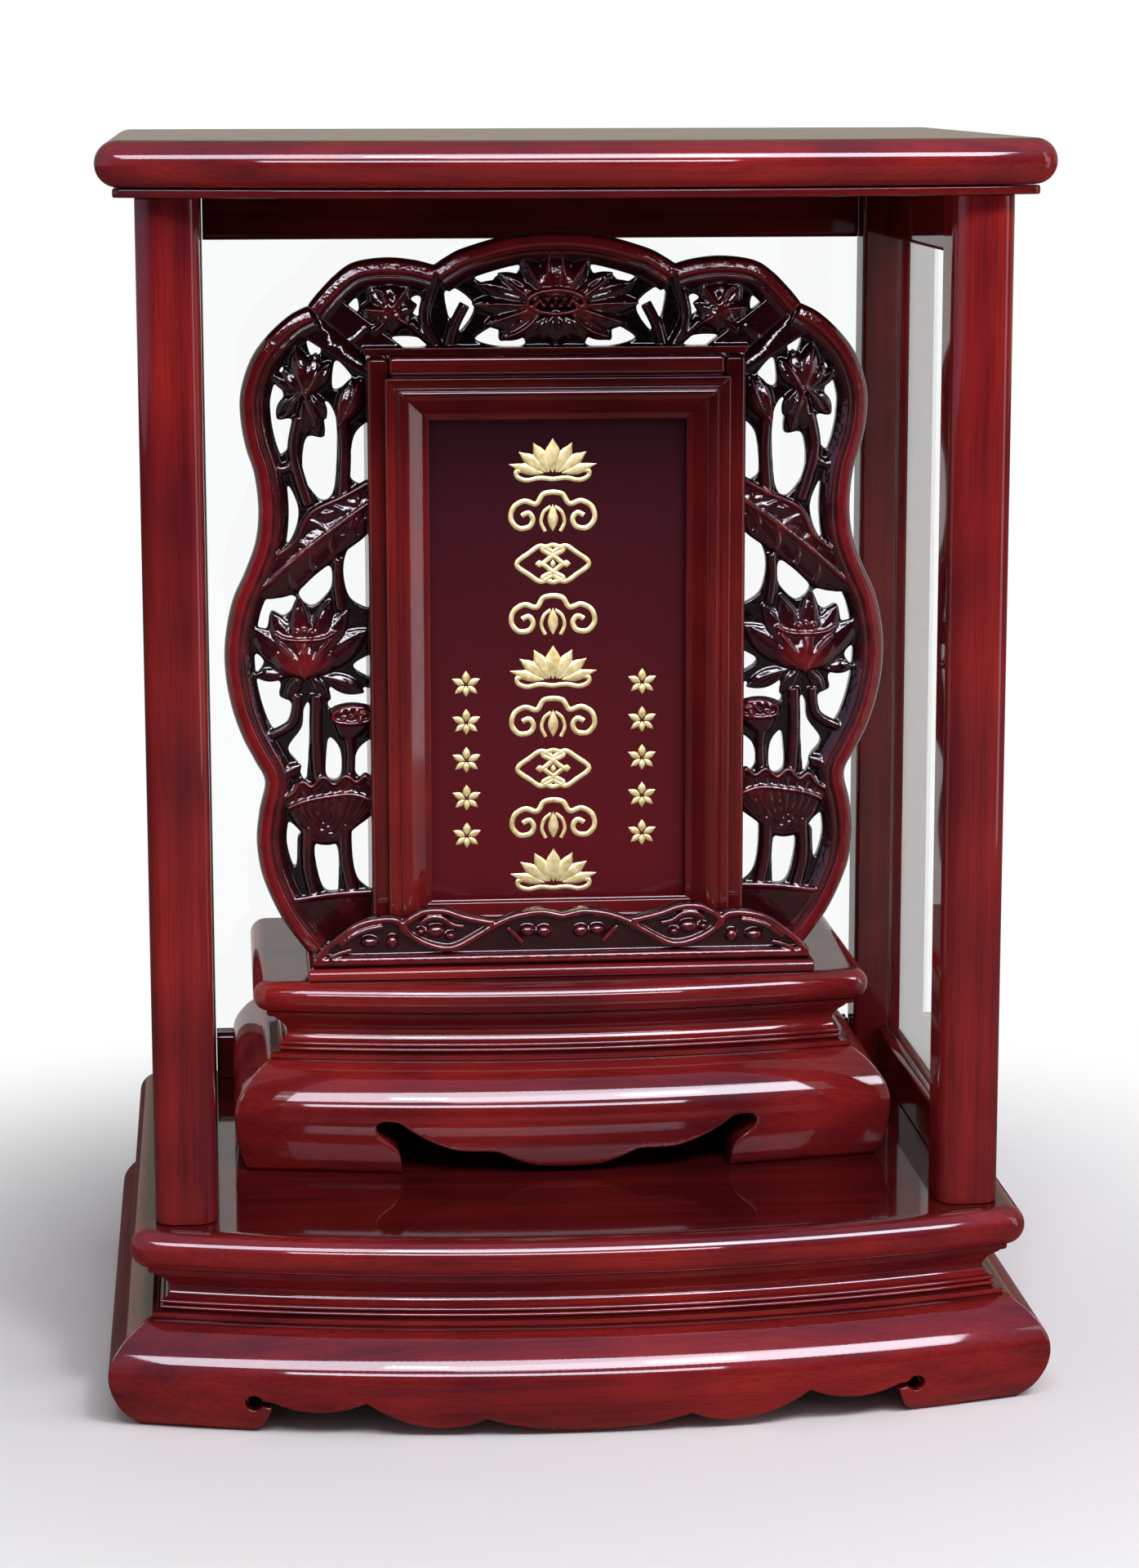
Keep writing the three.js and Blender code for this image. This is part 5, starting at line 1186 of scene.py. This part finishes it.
# The carved cloud rail in front of the tablet. Places are across from the middle and up from its
# foot, the foot's own are back and up, and a boss is (across, up, half width, half height).
railCarving = {
    "half": 111, "crestSteps": 5, "lipSides": 14, "lipSteps": 8, "bossSteps": (12, 20),
    "relief": 3.3, "voxel": 0.45, "grid": 4, "margin": 0.6, "floorSteps": 80,
    "lipSink": 0.1, "bossSink": 0.4, "bossDeep": 3.2, "stainAndShadeDepth": (-1, 15),
    "foot": [(2.2, 0), (0.7, 0.6), (0, 2.2), (0.3, 3.8), (1.6, 5)],
    "crest": [(0, 22.5), (5, 23.7), (10, 24.5), (20, 23), (29, 19.8), (35, 20.6), (44.7, 22.9),
        (52.6, 25.7), (60.5, 25.9), (65.2, 24.1), (70, 21.4), (76.3, 22.5), (84.2, 22),
        (92.1, 19.5), (100, 14), (106.4, 8.5), (109.5, 5.2), (111, 0)],
    "lips": {
        1.5: [
            [(0, 21.3), (5, 22.4), (10, 23.2), (20, 21.8), (29, 18.4), (37, 13.8), (46, 8.9),
                (52, 7.7), (60, 9.6), (67.6, 13.8), (72.6, 19.5), (76.3, 21.2), (84.2, 20.7),
                (92.1, 18.2), (99.4, 12.9), (105.6, 7.8), (109.6, 3)],
            [(31, 18.8), (35, 19.4), (44.7, 21.7), (52.6, 24.4), (60.3, 24.6), (65, 22.8),
                (69.4, 20), (71.6, 17.4), (68.4, 14.2)],
        ],
        1.05: [[(24.7, 16.6), (21.5, 13.4), (18, 9.5)], [(44, 17.5), (49, 18.4), (54, 21.5),
            (59.5, 21.7), (63.5, 19)], [(80, 18.2), (86, 17.2), (93, 14.5), (99, 10)],
            [(94, 8), (99, 6.6), (104, 4.6)]],
    },
    "bosses": [(8.3, 14.2, 3.6, 3), (15.6, 14.8, 3.8, 2.7), (56.5, 15.4, 4.4, 3),
        (50, 13.2, 2.6, 2), (76, 10.8, 2.9, 3.4), (86, 11, 4.2, 2.7), (63.2, 15.4, 2.3, 1.8)],
}


def addBoss(store, x, z, halfX, halfZ, y):
    rings = []
    rows, around = railCarving["bossSteps"]
    for up in spread(-math.pi / 2, math.pi / 2, rows)[1:-1]:
        flat = math.cos(up)
        ring = arc(x, y, halfX * flat, railCarving["bossDeep"] * flat, 0, 2 * math.pi, around)[:-1]
        rings.append([(across, deep, z + halfZ * math.sin(up)) for across, deep in ring])
    addTo(store, *skin(rings))


def makeRail():
    rail = railCarving
    low, high = boxOf("carved_rail")
    front, back, floor = low.y, high.y, low.z
    plate = front + rail["relief"]
    half = [(p.x, floor + p.y) for p in curveThrough(rail["crest"], rail["crestSteps"])]
    edge = spread(rail["half"], -rail["half"], rail["floorSteps"])
    loop = flip(half[:0:-1]) + half + [(x, floor) for x in edge[1:-1]]
    region = fillLoop(loop, (), rail["grid"], rail["grid"], rail["margin"])
    store = ([], [])
    addTo(store, *twoFaced(*region, lambda x, z: (x, plate, z), lambda x, z: (x, back, z)))
    foot = [(front + y, floor + z) for y, z in rail["foot"]]
    foot += [(back, foot[-1][1]), (back, floor)]
    addTo(store, *skin([[(x, y, z) for y, z in foot] for x in (-rail["half"], rail["half"])]))
    for sign in (-1, 1):
        for radius, lines in rail["lips"].items():
            placed = [[(sign * x, floor + z) for x, z in line] for line in lines]
            addTubes(store, placed, radius, front + radius + rail["lipSink"], rail["lipSides"],
                rail["lipSteps"])
        for x, z, halfX, halfZ in rail["bosses"]:
            addBoss(store, sign * x, floor + z, halfX, halfZ, plate + rail["bossSink"])
    # The rail's lacquer darkens over these depths: stain pooled in the hollows and painted shade in
    # them.
    stainAndShadeDepth = [front + y for y in rail["stainAndShadeDepth"]]
    railLacquer = carvedLacquer("carvedRailLacquer", *stainAndShadeDepth)
    piece = remeshed("carved_rail_finish", store, railLacquer, rail["voxel"])
    hand(piece, "tablet", "carved_lacquer", "carved_rail")


makeRail()
print("rail carved")


# Gilt ornament in the place of the inscription: lotus, cloud, knot and bud motifs in even rows,
# drawn as flat leaf over low gesso. Each motif's right half is drawn round its own middle, across
# and up. A petal is (root, tip, width), a line's key is its radius, and a row is the place of its
# lowest motif, their count and their pitch.
giltMotifs = {
    "lotus": {
        "petals": [((0, -5.5), (0, 9.5), 7.6), ((1.5, -5.5), (8.6, 7.6), 6.4),
            ((2.5, -5.5), (15, 3.6), 6), ((4, -6), (19.5, -1.8), 4.6)],
        "lines": {1.0: [[(0, -8.6), (6, -8), (11.5, -9), (15.5, -7.6), (16.2, -5.2), (14, -4.6)]]},
        "rows": [(-2, 213, 3, 92.4)],
    },
    "cloud": {
        "petals": [((0, -8.6), (0, 3.4), 4.6)],
        "lines": {
            1.15: [[(0, 8.8), (4.4, 7.8), (7.4, 3.6), (12.6, 4.9), (17.4, 2.2), (18.6, -3),
                (15.4, -7), (10.6, -6.6), (8.8, -3.2), (10.8, -0.4), (13.8, -1.6)]],
            0.8: [[(3.4, -8.6), (5.2, -4.4), (4, 0), (0.9, 2.4)]],
        },
        "rows": [(-2, 236.1, 2, 92.4), (-2, 282.3, 2, 92.4)],
    },
    "knot": {
        "petals": [((4.2, 0), (8, 0), 3.4), ((0, -1.8), (0, 1.8), 2.6)],
        "lines": {
            1.05: [[(0, 5), (5.2, 8), (10.4, 5), (16.2, 0), (10.4, -5), (5.2, -8), (0, -5)], [
                (-4.6, 0), (0, -3.6), (4.8, -6.4), (0, -8.4)],
                [(-4.6, 0), (0, 3.6), (4.8, 6.4), (0, 8.4)]],
        },
        "rows": [(-2, 259.2, 2, 92.4)],
    },
    "bud": {
        "petals": [((0, 0.6), (0, 6.2), 3.6), ((0, -0.6), (0, -5.4), 3),
            ((0.8, 0), (6.2, 2.6), 3.2), ((0.8, -0.6), (5, -4), 2.6)],
        "lines": {},
        "rows": [(-41, 229, 5, 17.2), (38, 229, 5, 17.2)],
    },
}
gilt = {"rise": 0.42, "sink": 0.15, "flat": 0.34, "sides": 10, "steps": 5, "petalSteps": (12, 8),
    "petalLean": 0.9, "petalEnd": 0.03, "petalFoot": 0.35, "sharp": 60}


# A pointed leaf of low relief.
def addLens(store, root, tip, wide):
    def halfAt(u):
        return wide / 2 * max(math.sin(math.pi * u ** gilt["petalLean"]), gilt["petalEnd"])

    def frontAt(u, v):
        return -gilt["rise"] * (1 - v ** 4) * mix(gilt["petalFoot"], 1, math.sin(math.pi * u))

    addBlade(store, root, tip, gilt["petalSteps"], halfAt, frontAt, gilt["sink"])


def makeGilt():
    board = boxOf("inscription_board")[0].y
    whole = ([], [])
    for motif in giltMotifs.values():
        store = ([], [])
        for sign in (-1, 1):
            for root, tip, wide in motif["petals"]:
                if sign > 0 or root[0] or tip[0]:  # one on the middle line has no twin
                    addLens(store, (sign * root[0], root[1]), (sign * tip[0], tip[1]), wide)
            for radius, lines in motif["lines"].items():
                placed = [[(sign * x, z) for x, z in line] for line in lines]
                addTubes(store, placed, radius, 0, gilt["sides"], gilt["steps"], gilt["flat"],
                    giltLeaf)
        for x, z, count, pitch in motif["rows"]:
            addGrown(whole, rows, store[0], (), store[1], board, {"Count": count,
                "Start": (x * mm, 0, z * mm), "Pitch": pitch * mm, "Material": giltLeaf})
    piece = makePiece("gilt_ornament", *whole, giltLeaf, gilt["sharp"])
    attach(piece, "tablet")


makeGilt()
print("ornament gilded")


# The frame's own pieces that stay: welded, eased by so much where they turn by more than the angle,
# and given their finish.
keptAngle = 40
keptPieces = [
    (0.6, lacquerX, ["stand_step"]),
    (0.6, lacquerY, ["bottom_rail_left", "bottom_rail_right"]),
    (0.6, lacquerZ, ["post_front_left", "post_front_right"]),
    # Painted shade: the rear and inner rails, rear posts, canopy fillet, box and rear cover are
    # painted darker, as parts that lie in shade.
    (0.6, shadedCopyX, ["top_rail_rear", "bottom_rail_rear"]),
    (0.6, shadedCopyY, ["top_rail_left", "top_rail_right"]),
    (0.6, shadedCopyZ, ["post_rear_left", "post_rear_right"]),
    (0.8, shadedCopyX, ["canopy_fillet"]),
    (0.2, paneGlass, ["glass_left", "glass_right", "glass_rear"]),
    (2.2, shadedCopyZ, ["box_left", "box_right"]),
    (2.2, lacquerX, ["box_top"]),
    (0.5, shadedCopyX, ["box_bottom"]),
    (0.4, shadedCopyZ, ["rear_cover"]),
    (0.3, boardPlum, ["inscription_board"]),
    (0.3, slipWood, [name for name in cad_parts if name.startswith("name_slip")]),
    (0.4, blockWood, [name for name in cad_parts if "_block_" in name]),
]
for ease, material, names in keptPieces:
    for name in names:
        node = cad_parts[name]
        node.data.materials.clear()
        node.data.materials.append(material)
        node.modifiers.new("weld", "WELD").merge_threshold = 0.01 * mm
        easeEdges(node, ease, keptAngle)
print("kept pieces finished")


# A pale floor that fades to white, and a white room that the camera sees. Glossy rays see a room of
# their own, whose glows grow along an axis from one direction to another. Sizes are metres here.
studio = {"floorSize": 9.0, "floor": "#F3F2F0", "mirrorFloor": "#8F8880", "fade": (0.24, 0.6),
    "white": (1, 1, 1, 1), "room": (0.93, 0.94, 1.0, 1), "ambient": 0.26,
    "dark": (0.012, 0.009, 0.014, 1), "lilac": (1.3, 0.95, 1.5, 1), "pale": (0.62, 0.59, 0.5, 1),
    "glows": [("Z", 0.1, 0.75, "lilac"), ("X", -0.25, -0.95, "lilac"), ("Y", -0.1, 0.7, "pale")]}


# The rays that see the room white, straight or through glass, and those that mirror it.
def sortRays(tree):
    path = addNode(tree, "ShaderNodeLightPath").outputs
    seen = addNode(tree, "ShaderNodeMath", {0: path["Is Camera Ray"],
        1: path["Is Transmission Ray"]}, operation="MAXIMUM")
    return seen, path["Is Glossy Ray"]


def addStage():
    half = studio["floorSize"] / 2
    mesh = bpy.data.meshes.new("floor")
    corners = [(-half, -half, 0), (half, -half, 0), (half, half, 0), (-half, half, 0)]
    mesh.from_pydata(corners, [], [(0, 1, 2, 3)])
    floor = bpy.data.objects.new("floor", mesh)
    bpy.context.scene.collection.objects.link(floor)
    material, tree, shader, place = newMaterial("paleFloor", {"Roughness": 0.7,
        "Base Color": linear(studio["floor"]), "Specular IOR Level": 0.1})
    distance = addNode(tree, "ShaderNodeVectorMath", {0: place}, operation="LENGTH")
    fade = addNode(tree, "ShaderNodeMapRange", {"Value": distance, "From Min": studio["fade"][0],
        "From Max": studio["fade"][1]}, interpolation_type="SMOOTHSTEP")
    seen, glossy = sortRays(tree)
    share = addNode(tree, "ShaderNodeMath", {0: seen, 1: fade}, operation="MULTIPLY")
    white = addNode(tree, "ShaderNodeEmission", {"Color": studio["white"], "Strength": 1.0})
    # Glossy rays see the floor darker than it is: a painted darker reflection of the floor.
    mirrored = addNode(tree, "ShaderNodeBsdfDiffuse", {"Color": linear(studio["mirrorFloor"])})
    dimmed = addNode(tree, "ShaderNodeMixShader", {0: glossy, 1: shader, 2: mirrored})
    blend = addNode(tree, "ShaderNodeMixShader", {0: share, 1: dimmed, 2: white})
    output = next(n for n in tree.nodes if n.type == "OUTPUT_MATERIAL")
    fillInputs(tree, output, {"Surface": blend})
    mesh.materials.append(material)


def addWorld():
    world = bpy.data.worlds.new("studioRoom")
    bpy.context.scene.world = world
    world.use_nodes = True
    tree = world.node_tree
    tree.nodes.clear()
    direction = addNode(tree, "ShaderNodeTexCoord").outputs["Generated"]
    parts = addNode(tree, "ShaderNodeSeparateXYZ", {"Vector": direction}).outputs
    glow = studio["dark"]
    for axis, start, end, colour in studio["glows"]:
        reach = addNode(tree, "ShaderNodeMapRange", {"Value": parts[axis], "From Min": start,
            "From Max": end}, interpolation_type="SMOOTHSTEP")
        glow = addNode(tree, "ShaderNodeMix", {"Factor": reach, "A": glow, "B": studio[colour]},
            data_type="RGBA")
    seen, glossy = sortRays(tree)
    shown = [(studio["room"], studio["ambient"]), (glow, 1.0), (studio["white"], 1.0)]
    room, mirror, white = (addNode(tree, "ShaderNodeBackground", {"Color": colour,
        "Strength": power}) for colour, power in shown)
    inner = addNode(tree, "ShaderNodeMixShader", {0: glossy, 1: room, 2: mirror})
    outer = addNode(tree, "ShaderNodeMixShader", {0: seen, 1: inner, 2: white})
    addNode(tree, "ShaderNodeOutputWorld", {"Surface": outer})


# The lamps' places and sizes in metres. Those for gloss are seen in the lacquer's coat only: a long
# soft strip over the camera, a low one under the canopy and a card at the right.
lampAim = (0, 0, 0.3)
lamps = {
    "reflector": {"from": (0.1, -1.8, 1.95), "size": (3.4, 0.8), "watts": 240,
        "colour": (0.9, 0.88, 1.0), "gloss": True},
    "sideCard": {"from": (1.35, -0.45, 0.3), "size": (0.35, 1.1), "watts": 4,
        "colour": (0.9, 0.86, 1.0), "gloss": True},
    "lowStrip": {"from": (-0.1, -2.1, 1.05), "size": (1.6, 0.26), "watts": 42,
        "colour": (0.9, 0.88, 1.0), "gloss": True},
    "softFront": {"from": (0.6, -1.75, 1.8), "size": (2.0, 0.6), "watts": 34,
        "colour": (0.93, 0.91, 1.0), "gloss": False},
    "lampLeft": {"from": (-0.42, -1.9, 1.95), "size": (0.22, 0.2), "watts": 7,
        "colour": (0.98, 0.98, 1.0), "gloss": False},
    "lampRight": {"from": (0.62, -1.8, 1.95), "size": (0.34, 0.2), "watts": 14,
        "colour": (0.98, 0.98, 1.0), "gloss": False},
    "sideRight": {"from": (2.0, -1.1, 1.1), "size": (0.5, 1.4), "watts": 9,
        "colour": (0.96, 0.93, 1.0), "gloss": False},
}


def addLamps():
    for name, lamp in lamps.items():
        data = bpy.data.lights.new(name, "AREA")
        data.shape = "RECTANGLE"
        data.size, data.size_y = lamp["size"]
        data.energy = lamp["watts"]
        data.color = lamp["colour"]
        light = bpy.data.objects.new(name, data)
        light.visible_diffuse = not lamp["gloss"]
        light.location = lamp["from"]
        aim = Vector(lampAim) - light.location
        light.rotation_euler = aim.to_track_quat("-Z", "Y").to_euler()
        bpy.context.scene.collection.objects.link(light)


addStage()
addWorld()
addLamps()
bpy.context.scene.view_settings.view_transform = "Standard"
print("studio lit")
